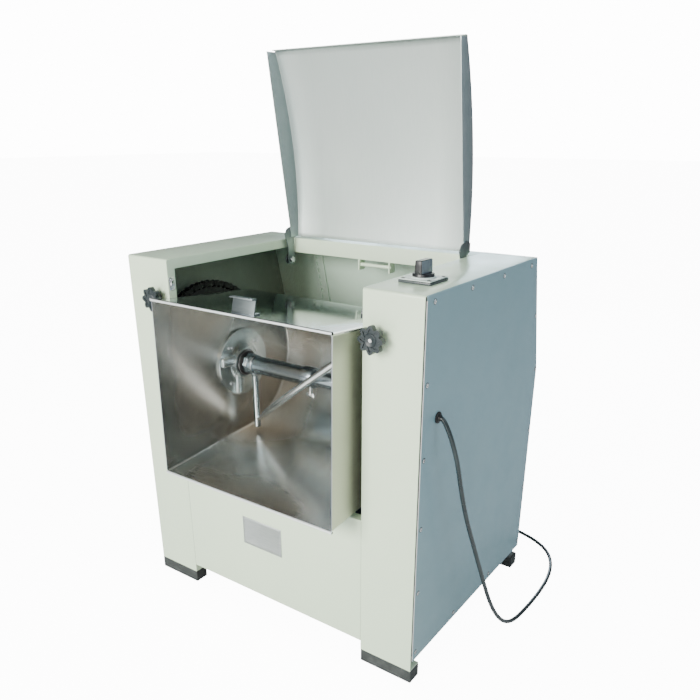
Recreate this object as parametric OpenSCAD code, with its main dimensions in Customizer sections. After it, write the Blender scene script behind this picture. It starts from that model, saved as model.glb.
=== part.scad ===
// Tilting-bowl dough mixer: a folded sheet cabinet with two columns, a bowl that
// tips forward between them, a kneading bar on a chain-driven shaft, and a lid.

/* [Cabinet] */
// Overall width across the side panels
cabinet_w = 700; // [660:5:800]
// Height of the columns above the feet
cabinet_h = 723; // [715:1:780]
// Depth of the cabinet at its top
depth_top = 449; // [440:1:480]
// Depth of the cabinet below the kink of the rear panel
depth_low = 510; // [500:1:560]
// Height of the kink of the rear panel
kink_h = 476; // [400:1:560]
// Width of each column
column_w = 117; // [112:1:135]
// Thickness of the cabinet sheet
sheet = 2; // [1.5:0.5:3]
// Depth of the column's return lip around its open inner side
lip = 20; // [14:1:26]
// Height of the gap below the front panel
front_gap = 20; // [14:1:30]
// Height of the gap below the side panels
side_gap = 22; // [14:1:30]
// Height of the front panel's top edge
front_panel_top = 293; // [260:1:295]
// Height of the rear crossbeam's front face
beam_h = 33; // [26:1:38]
// Depth of the rear crossbeam, front to back
beam_d = 61; // [49:1:61]

/* [Feet and base] */
// Height of the rubber feet
foot_h = 28; // [16:1:40]
// Depth of a foot
foot_d = 32; // [24:1:44]
// Size of the square base rails
rail = 30; // [24:1:36]
// Distance of the base rails from the side panels
rail_inset = 16; // [10:1:24]

/* [Bowl] */
// Outer radius of the bowl's round bottom
bowl_r = 162; // [150:1:166]
// Sheet thickness of the bowl
bowl_t = 1.5; // [1:0.5:2.5]
// Gap between the bowl and each column
bowl_gap = 17; // [14:1:24]
// Height of the front rim above the shaft, with the bowl upright
rim_front_up = 242; // [232:1:242]
// Distance of the front rim from the shaft
rim_front_out = 181; // [172:1:184]
// Height of the rear rim above the shaft, with the bowl upright
rim_rear_up = 235; // [228:1:238]
// Distance of the rear rim from the shaft
rim_rear_out = 182; // [172:1:184]
// Radius of the hem rolled along the rim
hem_r = 3; // [2:0.5:3.5]
// Width of the hook on the bowl's rear wall
hook_w = 54; // [40:1:66]

/* [Shaft line] */
// Shaft axis behind the column fronts
shaft_y = 175; // [172:1:180]
// Shaft axis above the column bottoms
shaft_z = 475; // [470:1:478]
// Radius of the kneading shaft in its bearings
shaft_r = 16; // [14:0.5:18]
// Radius of the bowl's trunnion tubes
trunnion_r = 26; // [24:0.5:30]
// Radius of the seal flanges inside the bowl
flange_r = 76; // [66:1:84]
// Radial clearance of running fits
run_fit = 0.05; // [0.02:0.01:0.08]

/* [Kneading tool] */
// Radius of the hubs on the shaft
hub_r = 24; // [21:0.5:28]
// Radius of the round arms
arm_r = 7; // [6:0.5:8]
// Reach of the arms from the shaft axis
arm_reach = 150; // [130:1:153]
// Radius of the kneading bar
bar_r = 7.5; // [6:0.5:9]

/* [Lid] */
// Gap between the lid's side flanges and the columns
lid_gap = 9; // [7:0.5:10]
// Radius of the lid's arch
lid_arch_r = 900; // [860:10:1000]
// Length of the lid sheet, straight across
lid_len = 385; // [340:1:390]
// Depth of the lid's side flanges
lid_flange = 26; // [16:1:30]
// Thickness of the lid sheet
lid_t = 1.5; // [1:0.5:2]
// Distance of the hinge pins in front of the rear crossbeam
hinge_out = 15; // [14:1:18]
// Hinge pin below the column tops
hinge_drop = 47; // [44:1:50]
// Radius of the lid's hinge pins
hinge_pin_r = 4; // [3:0.5:5]

/* [Drive] */
// Chain pitch
chain_pitch = 15.875; // [12.7:3.175:15.875]
// Teeth of the large sprocket on the kneading shaft
teeth_large = 65; // [55:1:65]
// Teeth of the small sprocket on the jackshaft
teeth_small = 15; // [13:1:19]
// Radius of the large belt pulley
pulley_large_r = 100; // [80:1:102]
// Radius of the motor's belt pulley
pulley_small_r = 34; // [28:1:36]
// Radius of the motor body
motor_r = 76; // [66:1:80]
// Length of the motor body
motor_len = 240; // [200:1:280]
// Jackshaft axis behind the column fronts
jack_y = 290; // [286:1:294]
// Jackshaft axis above the column bottoms
jack_z = 215; // [212:1:218]
// Motor axis behind the column fronts
motor_y = 400; // [398:1:406]
// Motor axis above the column bottoms
motor_z = 124; // [120:1:128]

/* [Knobs and switch] */
// Overall radius of the star knobs
knob_r = 25; // [20:0.5:27]
// Thickness of the star knobs
knob_t = 13; // [10:1:18]
// Number of lobes on a star knob
knob_lobes = 8; // [5:1:9]
// Distance of the star knobs below the column tops
knob_drop = 78; // [63:1:103]
// Distance of the star knobs from the column's outer side
knob_x = 87; // [80:1:89]
// Side of the square switch face plate
switch_w = 62; // [50:1:66]
// Height of the switch handle
handle_h = 27; // [20:1:32]

/* [Name plate] */
// Width of the bare name plate
plate_w = 105; // [80:1:130]
// Height of the bare name plate
plate_h = 65; // [50:1:80]

/* [Cord] */
// Diameter of the power cord
cord_d = 8.5; // [8:0.1:9]

/* [Hidden] */
$fn = 48;
eps = 0.01;
mid_x = cabinet_w / 2;
hem_out = rim_front_up + hem_r;
// The cabinet's frame has its origin at the left column's front bottom corner;
// the part's own frame is centred in the box and stands on z = 0.
y_front = shaft_y - hem_out;
origin_y = (y_front + depth_low) / 2;
beam_y = depth_top - beam_d;
hinge_y = beam_y - hinge_out;
knob_z = cabinet_h - knob_drop;
lid_w = cabinet_w - 2 * (column_w + lid_gap);
bowl_x0 = column_w + bowl_gap;
bowl_x1 = cabinet_w - bowl_x0;
screw_head_r = 4.5;
screw_head_h = 1.6;
panel_t = sheet;
clear = 0.3;
rear_in_y = depth_top - sheet - clear;

// Upright plates inside the columns that carry the bearings
bearing_in = 19;
bearing_x = column_w - bearing_in;
bearing_t = 8;
bearing_r = 52;
bearing_bolts_at = 42;
housing_t = 16;
plate_side = 80;
plate_foot = 60;
plate_y0 = shaft_y - plate_side;
plate_y1 = jack_y + plate_foot;
plate_step = jack_z + plate_foot;
plate_top = shaft_z + plate_side + 5;

// Side profile of the cabinet, as points in (depth, height)
function side_profile(inset, bottom) = [
    [inset, bottom],
    [inset, cabinet_h - inset],
    [depth_top - inset, cabinet_h - inset],
    [depth_low - inset, kink_h],
    [depth_low - inset, bottom]];

// Moves a shape from the cabinet's frame to the part's frame
module place() translate([-mid_x, -origin_y, foot_h]) children();
// Puts a copy of a left-hand shape on the right-hand side too
module both_sides() {
    children();
    translate([cabinet_w, 0, 0]) mirror([1, 0, 0]) children();
}
module right_side() translate([cabinet_w, 0, 0]) mirror([1, 0, 0]) children();
// Extrudes a (depth, height) outline along X, from x0 to x1
module along_x(x0, x1) translate([x0, 0, 0]) rotate([90, 0, 90]) linear_extrude(x1 - x0) children();
// A cylinder along X
module rod_x(x0, x1, y, z, r) translate([x0, y, z]) rotate([0, 90, 0]) cylinder(h = x1 - x0, r = r);
// A cylinder along Y
module rod_y(y0, y1, x, z, r) translate([x, y1, z]) rotate([90, 0, 0]) cylinder(h = y1 - y0, r = r);
// A cylinder along Z
module rod_z(z0, z1, x, y, r) translate([x, y, z0]) cylinder(h = z1 - z0, r = r);
module box(x0, x1, y0, y1, z0, z1) translate([x0, y0, z0]) cube([x1 - x0, y1 - y0, z1 - z0]);

// ---------------------------------------------------------------- cabinet
switch_in = 63;
switch_x = cabinet_w - switch_in;
switch_y = 100;
switch_hole_r = 12;
bend_r = 5;
seam_flange = 18;
panel_inset = panel_t;

// Outline of a column's front and top strip, rounded at the bend
module column_strip(x0, x1, t) along_x(x0, x1) difference() {
    union() {
        square([depth_top, cabinet_h - bend_r]);
        translate([bend_r, 0]) square([depth_top - bend_r, cabinet_h]);
        translate([bend_r, cabinet_h - bend_r]) circle(bend_r);
    }
    translate([t, -1]) square([depth_top, cabinet_h - t + 1]);
}
module column_sheet() {
    column_strip(panel_inset, column_w, sheet);
    // inner return lip, down the front and along the top
    box(column_w - sheet, column_w, sheet, lip, 0, cabinet_h - sheet);
    box(column_w - sheet, column_w, lip, beam_y, cabinet_h - lip, cabinet_h - sheet);
    box(column_w - sheet, column_w, beam_y, rear_in_y, cabinet_h - lip, cabinet_h - sheet);
    // outer return flange that the side panel is screwed to
    box(panel_inset, panel_inset + sheet, sheet, sheet + seam_flange, side_gap, cabinet_h - sheet);
    box(panel_inset, panel_inset + sheet, sheet, rear_in_y, cabinet_h - sheet - seam_flange,
        cabinet_h - sheet);
    // foot plate
    box(panel_inset, column_w, sheet, foot_d, 0, sheet);
}
knob_hole_r = 7.2;
module left_column() {
    color([0.84, 0.87, 0.82]) place() difference() {
        column_sheet();
        rod_y(-1, sheet + 1, knob_x, knob_z, knob_hole_r);
    }
}
module right_column() {
    color([0.84, 0.87, 0.82]) place() difference() {
        right_side() column_sheet();
        rod_y(-1, sheet + 1, cabinet_w - knob_x, knob_z, knob_hole_r);
        rod_z(cabinet_h - sheet - 1, cabinet_h + 1, switch_x, switch_y, switch_hole_r);
    }
}

// Screw places on a side panel, as (depth, height) from the panel's own edges
edge_in = 14;
top_in = 13;
rear_in = 8;
bottom_in = 12;
low_screw_z = side_gap + 18;
front_screws_pitch = (cabinet_h - top_in - low_screw_z) / 5;
top_screws_pitch = (depth_top - 4 * edge_in) / 3;
rear_screws_pitch = (kink_h - low_screw_z) / 3;
bottom_screws_pitch = depth_low / 3;
function panel_screws() = concat(
    [for (k = [0:3]) [2 * edge_in + k * top_screws_pitch, cabinet_h - top_in]],
    [for (k = [1:5]) [edge_in, cabinet_h - top_in - k * front_screws_pitch]],
    [[(depth_top + depth_low) / 2 - rear_in, (cabinet_h + kink_h) / 2]],
    [for (k = [0:3]) [depth_low - rear_in, kink_h - k * rear_screws_pitch]],
    [for (k = [1:2]) [k * bottom_screws_pitch, side_gap + bottom_in]]);

gland_y = 56;
gland_z = 507;
gland_r = 7;
module side_panel_sheet() along_x(0, panel_t) polygon(side_profile(0, side_gap));
module left_side_panel() {
    color([0.72, 0.77, 0.75]) place() side_panel_sheet();
}
module right_side_panel() {
    color([0.72, 0.77, 0.75]) place() difference() {
        right_side() side_panel_sheet();
        rod_x(cabinet_w - panel_t - 1, cabinet_w + 1, gland_y, gland_z, gland_r);
    }
}
module side_panel_screws() {
    color([0.75, 0.75, 0.72]) place() both_sides() for (p = panel_screws())
        translate([0, p[0], p[1]]) rotate([0, -90, 0])
            cylinder(h = screw_head_h, r1 = screw_head_r, r2 = screw_head_r * 0.7);
}

front_x0 = column_w + clear;
front_x1 = cabinet_w - front_x0;
plate_t = 1;
plate_left = 17;
plate_x = mid_x - plate_left;
plate_z = 172;
rivet_in = 5;
rivet_r = 2;
module front_panel() {
    color([0.84, 0.87, 0.82]) place() {
        box(front_x0, front_x1, 0, sheet, front_gap, front_panel_top);
        box(front_x0, front_x1, sheet, lip, front_panel_top - sheet, front_panel_top);
        box(front_x0, front_x0 + sheet, sheet, lip, front_gap, front_panel_top - sheet);
        box(front_x1 - sheet, front_x1, sheet, lip, front_gap, front_panel_top - sheet);
    }
}
// The rear panel tucks in under the column tops and behind the crossbeam
rear_top = cabinet_h - sheet - clear;
module rear_panel() {
    color([0.82, 0.86, 0.81]) place() along_x(panel_t, cabinet_w - panel_t) polygon([
        [depth_top - sheet, rear_top],
        [depth_top, rear_top],
        [depth_low, kink_h],
        [depth_low, front_gap],
        [depth_low - lip, front_gap],
        [depth_low - lip, front_gap + sheet],
        [depth_low - sheet, front_gap + sheet],
        [depth_low - sheet, kink_h]]);
}
module rear_crossbeam() {
    color([0.84, 0.87, 0.82]) place() along_x(column_w + clear, cabinet_w - column_w - clear)
        difference() {
            translate([beam_y, cabinet_h - beam_h]) square([rear_in_y - beam_y, beam_h]);
            translate([beam_y + sheet, cabinet_h - beam_h - 1])
                square([depth_top - beam_y, beam_h - sheet + 1]);
        }
}
// Slotted strip down the sloping part of the rear panel
strip_in = 11;
strip_x = column_w + strip_in;
strip_w = 26;
strip_t = 3;
strip_gap = 4;
strip_end = 47;
slot_count = 9;
slot_w = 6;
slot_in = 5;
slope = [depth_low - depth_top, rear_top - kink_h];
lean = atan2(slope[0], slope[1]);
strip_len = norm(slope) - beam_h - strip_gap - strip_end;
slot_pitch = (strip_len - 2 * slot_in) / slot_count;
module rear_stiffener() {
    color([0.6, 0.64, 0.6]) place()
        translate([strip_x, depth_top - sheet, rear_top]) rotate([lean, 0, 0])
            translate([0, -strip_t - clear, -strip_len - beam_h - strip_gap]) difference() {
                cube([strip_w, strip_t, strip_len]);
                for (k = [0:slot_count - 1])
                    translate([slot_in, -1, slot_in + (k + 0.25) * slot_pitch])
                        cube([slot_w, strip_t + 2, slot_pitch / 2]);
            }
}
module name_plate() {
    color([0.8, 0.8, 0.8]) place() {
        box(plate_x - plate_w / 2, plate_x + plate_w / 2, -plate_t, 0,
            plate_z - plate_h / 2, plate_z + plate_h / 2);
        for (sx = [-1, 1], sz = [-1, 1])
            rod_y(-2 * plate_t, -plate_t, plate_x + sx * (plate_w / 2 - rivet_in),
                plate_z + sz * (plate_h / 2 - rivet_in), rivet_r);
    }
}

// ---------------------------------------------------------------- base and feet
rail_wall = 2.5;
// Front edges of the cross rails: two under the bearing plates, the last two under the motor
rail_set_in = 5;
motor_rail_out = 45;
cross_rail_y = [plate_y0 + rail_set_in, plate_y1 - rail, motor_y + motor_rail_out];
module base_frame() {
    color([0.35, 0.37, 0.36]) place() {
        both_sides() difference() {
            box(rail_inset, rail_inset + rail, sheet, depth_low - lip - clear, sheet, sheet + rail);
            box(rail_inset + rail_wall, rail_inset + rail - rail_wall, -1, depth_low + 1,
                sheet + rail_wall, sheet + rail - rail_wall);
        }
        for (y = cross_rail_y)
            box(rail_inset + rail, cabinet_w - rail_inset - rail, y, y + rail, sheet, sheet + rail);
        // rear foot plates
        both_sides() box(panel_inset + sheet, column_w, depth_low - sheet - clear - foot_d,
            depth_low - sheet - clear, 0, sheet);
    }
}
foot_in = 1;
foot_wall = 5;
foot_hollow = 8;
module foot(y0) difference() {
    box(foot_in, column_w, y0, y0 + foot_d, -foot_h, 0);
    // hollow moulding, open below
    box(foot_in + foot_wall, column_w - foot_wall, y0 + foot_wall, y0 + foot_d - foot_wall,
        -foot_h - 1, -foot_h + foot_hollow);
}
foot_rear_y = depth_low - foot_d;
module front_left_foot() color([0.25, 0.27, 0.27]) place() foot(0);
module front_right_foot() color([0.25, 0.27, 0.27]) place() right_side() foot(0);
module rear_left_foot() color([0.25, 0.27, 0.27]) place() foot(foot_rear_y);
module rear_right_foot() color([0.25, 0.27, 0.27]) place() right_side() foot(foot_rear_y);

// ---------------------------------------------------------------- shaft bearings
jack_r = 12;
jack_housing_r = 30;
jack_housing_t = 14;
trunnion_hole_r = trunnion_r + 4;
bolt_hole_r = 4;
module bearing_plate() difference() {
    along_x(bearing_x, bearing_x + bearing_t) union() {
        translate([plate_y0, sheet + rail]) square([plate_y1 - plate_y0, plate_step - sheet - rail]);
        polygon([[plate_y0, plate_step - eps], [plate_y1, plate_step - eps],
            [shaft_y + plate_side, shaft_z], [shaft_y + plate_side, plate_top], [plate_y0, plate_top]]);
    }
    rod_x(bearing_x - 1, bearing_x + bearing_t + 1, shaft_y, shaft_z, trunnion_hole_r);
    rod_x(bearing_x - 1, bearing_x + bearing_t + 1, jack_y, jack_z, jack_r + bolt_hole_r);
    bearing_bolts(bearing_x - 1, bearing_x + bearing_t + 1, bolt_hole_r);
}
// Four rods around the shaft, at the bearing's bolts
module bearing_bolts(x0, x1, r) for (a = [45:90:315])
    rod_x(x0, x1, shaft_y + bearing_bolts_at * cos(a), shaft_z + bearing_bolts_at * sin(a), r);
module left_bearing_plate() color([0.4, 0.43, 0.42]) place() bearing_plate();
module right_bearing_plate() color([0.4, 0.43, 0.42]) place() right_side() bearing_plate();
housing_base_t = 7;
housing_wall = 12;
bolt_head_r = 6;
bolt_head_t = 5;
module shaft_bearings() {
    color([0.3, 0.42, 0.45]) place() both_sides() difference() {
        union() {
            rod_x(bearing_x - housing_t, bearing_x, shaft_y, shaft_z, trunnion_r + housing_wall);
            rod_x(bearing_x - housing_base_t, bearing_x, shaft_y, shaft_z, bearing_r);
            bearing_bolts(bearing_x - housing_base_t - bolt_head_t, bearing_x, bolt_head_r);
        }
        rod_x(bearing_x - housing_t - 1, bearing_x + 1, shaft_y, shaft_z, trunnion_r + run_fit);
    }
}
module jackshaft_bearings() {
    color([0.3, 0.42, 0.45]) place() for (x = [bearing_x - jack_housing_t, bearing_x + bearing_t])
        difference() {
            rod_x(x, x + jack_housing_t, jack_y, jack_z, jack_housing_r);
            rod_x(x - 1, x + jack_housing_t + 1, jack_y, jack_z, jack_r + run_fit);
        }
}

// ---------------------------------------------------------------- bowl
// Bowl outline, tipped forward: u is height above the shaft when upright,
// v is distance behind it; tipped, u points forward and v points up.
function tangent_point(p, r, side) =
    let (d = norm(p), a = atan2(p[1], p[0]), b = acos(r / d))
    [r * cos(a + side * b), r * sin(a + side * b)];
module bowl_outline(r, grow, up) {
    front = [-rim_front_out + grow, rim_front_up];
    rear = [rim_rear_out - grow, rim_rear_up];
    tf = tangent_point(front, r, 1);
    tr = tangent_point(rear, r, -1);
    circle(r, $fn = 96);
    polygon([tf, front, front + [0, up], rear + [0, up], rear, tr, [0, 0]]);
}
// Lays an upright (v, u) outline down along X in the tipped pose
module tipped() translate([0, shaft_y, shaft_z]) rotate([90, 0, 0]) children();

module bowl_shell() {
    color([0.72, 0.71, 0.69]) place() {
        difference() {
            tipped() along_x(bowl_x0, bowl_x1) bowl_outline(bowl_r, 0, 0);
            tipped() along_x(bowl_x0 + bowl_t, bowl_x1 - bowl_t)
                bowl_outline(bowl_r - bowl_t, bowl_t, 20);
            rod_x(bowl_x0 - 1, bowl_x0 + bowl_t + 1, shaft_y, shaft_z, trunnion_r);
            rod_x(bowl_x1 - bowl_t - 1, bowl_x1 + 1, shaft_y, shaft_z, trunnion_r);
        }
        rim_hem();
    }
}
// Hem rolled along the two long edges of the mouth
rim_tilt = atan2(rim_rear_up - rim_front_up, rim_rear_out + rim_front_out);
rim_run = norm([rim_rear_up - rim_front_up, rim_rear_out + rim_front_out]);
hem_sink = 0.5;
module rim_hem() {
    tipped()
        translate([0, -rim_front_out, rim_front_up]) rotate([rim_tilt, 0, 0]) difference() {
            for (y = [0, rim_run]) rod_x(bowl_x0 + clear, bowl_x1 - clear, y, 0, hem_r);
            box(bowl_x0 - 10, bowl_x1 + 10, -10, rim_run + 10, -10, -hem_sink);
        }
}
hook_drop = 39;
hook_foot_u = rim_rear_up - hook_drop;
hook_foot_h = 16;
hook_rise = 29;
hook_t = 2.5;
hook_slope = 10;
hook_lip_z = 9;
hook_lip_h = 12;
// Slope of the bowl's upright rear wall, outward per unit of height
rear_tangent = tangent_point([rim_rear_out, rim_rear_up], bowl_r, -1);
function rear_wall_v(u) = rear_tangent[0]
    + (rim_rear_out - rear_tangent[0]) * (u - rear_tangent[1]) / (rim_rear_up - rear_tangent[1]);
wall_lean = atan2(rim_rear_out - rear_tangent[0], rim_rear_up - rear_tangent[1]);
module bowl_hook() {
    color([0.78, 0.78, 0.77]) place() tipped()
        translate([mid_x - hook_w / 2, rear_wall_v(hook_foot_u), hook_foot_u])
            rotate([-wall_lean, 0, 0]) {
                cube([hook_w, hook_t, hook_foot_h]);
                translate([0, 0, hook_foot_h - hook_t]) rotate([-hook_slope, 0, 0])
                    cube([hook_w, hook_rise, hook_t]);
                translate([0, hook_rise - hook_t, hook_lip_z]) cube([hook_w, hook_t, hook_lip_h]);
            }
}
seal_flange_t = 6;
boss_t = 14;
boss_r = 34;
rib_t = 13;
rib_w = 18;
rib_out = flange_r - 5;
rib_off = 4;
module seal_flanges() {
    x0 = bowl_x0 + bowl_t;
    color([0.66, 0.67, 0.66]) place() both_sides() difference() {
        union() {
            rod_x(x0, x0 + seal_flange_t, shaft_y, shaft_z, flange_r);
            rod_x(x0, x0 + boss_t, shaft_y, shaft_z, boss_r);
            // cast ribs from the boss to the edge
            box(x0, x0 + rib_t, shaft_y - rib_out, shaft_y, shaft_z + rib_off, shaft_z + rib_off + rib_w);
            box(x0, x0 + rib_t, shaft_y - 2 * rib_off - rib_w, shaft_y - 2 * rib_off, shaft_z - rib_out, shaft_z);
        }
        rod_x(bowl_x0, x0 + boss_t + 1, shaft_y, shaft_z, shaft_r + hub_clear);
    }
}
hub_clear = 0.5;
flange_screw_at = flange_r - 18;
flange_screw_r = 6;
flange_screw_t = 2.6;
module flange_screws() {
    color([0.8, 0.8, 0.78]) place() both_sides() for (a = [45, 135, 225, 315])
        rod_x(bowl_x0 + bowl_t + seal_flange_t, bowl_x0 + bowl_t + seal_flange_t + flange_screw_t,
            shaft_y + flange_screw_at * cos(a), shaft_z + flange_screw_at * sin(a), flange_screw_r);
}
trunnion_x = bearing_x - housing_t - 2;
outer_flange_r = 58;
outer_flange_t = 4;
module bowl_trunnions() {
    color([0.6, 0.61, 0.62]) place() both_sides() difference() {
        union() {
            rod_x(trunnion_x, bowl_x0 + bowl_t, shaft_y, shaft_z, trunnion_r);
            rod_x(bowl_x0 - outer_flange_t, bowl_x0, shaft_y, shaft_z, outer_flange_r);
        }
        rod_x(trunnion_x - 1, bowl_x0 + bowl_t + 1, shaft_y, shaft_z, shaft_r + run_fit);
    }
}

// ---------------------------------------------------------------- kneading tool
sprocket_x = 36;
sprocket_t = 8;
sprocket_hub = 14;
shaft_end = 8;
shaft_x0 = sprocket_x - sprocket_hub;
shaft_x1 = cabinet_w - trunnion_x + shaft_end;
seal_ring_t = 6;
hub_x0 = bowl_x0 + bowl_t + boss_t + seal_ring_t;
hub_len = 26;
sleeve_end = 32;
sleeve_x1 = mid_x - sleeve_end;
sleeve_r = hub_r - 4.5;
collar_r = hub_r - 2;
collar_len = 28;
collar_mid = sleeve_x1 + collar_len / 2;
arm_in = 8;
bar_x0 = hub_x0 + hub_len - arm_in;
bar_x1 = cabinet_w - bar_x0;
seal_ring_r = boss_r - 1;
module shaft_hole(r) rod_x(shaft_x0 - 5, shaft_x1 + 5, shaft_y, shaft_z, r);
module agitator_shaft() {
    color([0.62, 0.65, 0.66]) place() rod_x(shaft_x0, shaft_x1, shaft_y, shaft_z, shaft_r);
}
module shaft_seals() {
    color([0.08, 0.08, 0.08]) place() both_sides() difference() {
        rod_x(bowl_x0 + bowl_t + boss_t + clear, hub_x0 - clear, shaft_y, shaft_z, seal_ring_r);
        shaft_hole(shaft_r);
    }
}
// Round tube around the shaft from the left hub to mid length, with a clamping collar
module shaft_sleeve() {
    color([0.62, 0.65, 0.66]) place() difference() {
        union() {
            rod_x(hub_x0 + hub_len, sleeve_x1, shaft_y, shaft_z, sleeve_r);
            rod_x(sleeve_x1, sleeve_x1 + collar_len, shaft_y, shaft_z, collar_r);
        }
        shaft_hole(shaft_r);
        rod_z(shaft_z - 2 * collar_r, shaft_z, collar_mid, shaft_y, set_screw_r);
    }
}
set_screw_r = 4;
set_screw_out = 16;
wing_w = 20;
wing_t = 4;
wing_h = 8;
// Near its end the arm has a socket for the thin end of the kneading bar
module hub_and_arm(dir) {
    difference() {
        union() {
            rod_x(hub_x0, hub_x0 + hub_len, shaft_y, shaft_z, hub_r);
            translate([bar_x0, shaft_y, shaft_z]) rotate([dir > 0 ? 0 : 180, 0, 0])
                cylinder(h = arm_reach, r = arm_r);
        }
        shaft_hole(shaft_r);
        if (dir < 0) bar_end_space();
        else translate([0, 0, 2 * shaft_z]) mirror([0, 0, 1]) bar_end_space();
    }
}
module left_arm() color([0.62, 0.65, 0.66]) place() hub_and_arm(-1);
module right_arm() color([0.62, 0.65, 0.66]) place() right_side() hub_and_arm(1);
// Kneading bar: from the low end of the left arm to the high end of the right one,
// bowed out around the shaft
bar_out = 42;
bar_inset = 15;
bar_reach = arm_reach - bar_inset;
bar_end_r = 4.5;
bar_end_t = 0.1;
bar_end_steps = 4;
function bar_point(t) = [
    bar_x0 + t * (bar_x1 - bar_x0),
    shaft_y - bar_out * sin(180 * t),
    shaft_z + bar_reach * (2 * t - 1)];
// Room for the low end of the bar: a cylinder along its first stretch
module bar_end_space() {
    p = bar_point(0);
    d = bar_point(bar_end_t / bar_end_steps) - p;
    along = norm(d);
    translate(p) rotate([0, acos(d[2] / along), atan2(d[1], d[0])])
        translate([0, 0, -clear]) cylinder(h = 4 * arm_r, r = bar_end_r + clear);
}
bar_steps = 20;
bar_sides = 16;
function ring(p, q, r, n) =
    let (d = (q - p) / norm(q - p), s = cross(d, [0, 1, 0.13]), u = s / norm(s), w = cross(u, d))
    [for (i = [0:n - 1]) u * r * cos(360 * i / n) + w * r * sin(360 * i / n)];
function moved(ring_points, p) = [for (v = ring_points) v + p];
function tube_faces(rings, n) = concat(
    [[for (i = [n - 1:-1:0]) i]],
    [[for (i = [0:n - 1]) (rings - 1) * n + i]],
    [for (k = [0:rings - 2], i = [0:n - 1])
        [k * n + i, k * n + (i + 1) % n, (k + 1) * n + (i + 1) % n]],
    [for (k = [0:rings - 2], i = [0:n - 1])
        [k * n + i, (k + 1) * n + (i + 1) % n, (k + 1) * n + i]]);
// Sweeps a round tube along a list of points
module tube(points, r, n) {
    last = len(points) - 1;
    polyhedron(
        points = [for (k = [0:last])
            each moved(ring(points[max(k - 1, 0)], points[min(k + 1, last)], r, n), points[k])],
        faces = tube_faces(last + 1, n), convexity = 6);
}
module kneading_bar() {
    past = bar_end_t * (1 + 1 / bar_end_steps);
    color([0.75, 0.76, 0.76]) place() {
        tube([for (k = [0:bar_steps]) bar_point(bar_end_t + (1 - 2 * bar_end_t) * k / bar_steps)],
            bar_r, bar_sides);
        tube([for (k = [0:bar_end_steps + 1]) bar_point(past * k / (bar_end_steps + 1))],
            bar_end_r, bar_sides);
        tube([for (k = [bar_end_steps + 1:-1:0]) bar_point(1 - past * k / (bar_end_steps + 1))],
            bar_end_r, bar_sides);
    }
}
module set_screw() {
    color([0.8, 0.8, 0.78]) place() {
        rod_z(shaft_z - collar_r - set_screw_out, shaft_z - shaft_r - clear, collar_mid, shaft_y, set_screw_r - 0.05);
        translate([collar_mid - wing_w / 2, shaft_y - wing_t / 2,
            shaft_z - collar_r - set_screw_out - wing_h + 2]) cube([wing_w, wing_t, wing_h]);
    }
}
// ---------------------------------------------------------------- chain and belt drive
function pitch_r(teeth) = chain_pitch / (2 * sin(180 / teeth));
roller_r = 5;
tooth_h = 4;
hub_wall = 12;
chain_in = roller_r + 0.6;
large_r = pitch_r(teeth_large);
small_r = pitch_r(teeth_small);
// Toothed outline: a polygon with one point on each tooth's tip and root
function toothed(teeth, tip, root) = [for (i = [0:teeth - 1], k = [0, 1, 2])
    let (a = 360 * (i + [0, 0.5, 0.72][k]) / teeth, r = [root, tip, root][k]) [r * cos(a), r * sin(a)]];
module sprocket(x, y, z, teeth, bore) {
    p = pitch_r(teeth);
    difference() {
        union() {
            translate([x - sprocket_t / 2, y, z]) rotate([90, 0, 90]) linear_extrude(sprocket_t)
                polygon(toothed(teeth, p - chain_in, p - chain_in - tooth_h));
            rod_x(x - sprocket_hub, x + sprocket_hub, y, z, bore + hub_wall);
        }
        rod_x(x - sprocket_hub - 1, x + sprocket_hub + 1, y, z, bore);
    }
}
module large_sprocket() color([0.16, 0.17, 0.17]) place()
    sprocket(sprocket_x, shaft_y, shaft_z, teeth_large, shaft_r);
module small_sprocket() color([0.16, 0.17, 0.17]) place()
    sprocket(sprocket_x, jack_y, jack_z, teeth_small, jack_r);
// Points of a loop around two wheels: both rims and the tangents between them
arc_steps = 48;
function arc_points(p, r, a0, a1) =
    [for (k = [0:arc_steps]) let (a = a0 + (a1 - a0) * k / arc_steps) p + r * [cos(a), sin(a)]];
function loop_points(p0, r0, p1, r1) =
    let (v = p1 - p0, a = atan2(v[1], v[0]), b = acos((r0 - r1) / norm(v)))
    concat(arc_points(p0, r0, a + b, a + 360 - b), arc_points(p1, r1, a - b, a + b));
module loop_band(x0, x1, p0, r0, p1, r1, thick) along_x(x0, x1) difference() {
    polygon(loop_points(p0, r0, p1, r1));
    polygon(loop_points(p0, r0 - thick, p1, r1 - thick));
}
shaft_at = [shaft_y, shaft_z];
jack_at = [jack_y, jack_z];
motor_at = [motor_y, motor_z];
chain_w = 16;
module drive_chain() color([0.12, 0.12, 0.12]) place()
    loop_band(sprocket_x - chain_w / 2, sprocket_x + chain_w / 2, shaft_at, large_r + roller_r,
        jack_at, small_r + roller_r, 2 * roller_r);
belt_x = 68;
belt_w = 12;
belt_t = 8;
pulley_rim = 3;
module pulley(y, z, r, bore) difference() {
    union() {
        rod_x(belt_x - belt_w / 2 - pulley_rim, belt_x - belt_w / 2, y, z, r);
        rod_x(belt_x + belt_w / 2, belt_x + belt_w / 2 + pulley_rim, y, z, r);
        rod_x(belt_x - belt_w / 2 - eps, belt_x + belt_w / 2 + eps, y, z, r - belt_t - clear);
    }
    rod_x(belt_x - belt_w, belt_x + belt_w, y, z, bore);
}
module large_pulley() color([0.3, 0.32, 0.33]) place() pulley(jack_y, jack_z, pulley_large_r, jack_r);
module small_pulley() color([0.3, 0.32, 0.33]) place() pulley(motor_y, motor_z, pulley_small_r, motor_shaft_r);
module v_belt() {
    color([0.08, 0.08, 0.08]) place() loop_band(belt_x - belt_w / 2 + clear, belt_x + belt_w / 2 - clear,
        jack_at, pulley_large_r, motor_at, pulley_small_r, belt_t);
}
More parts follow.
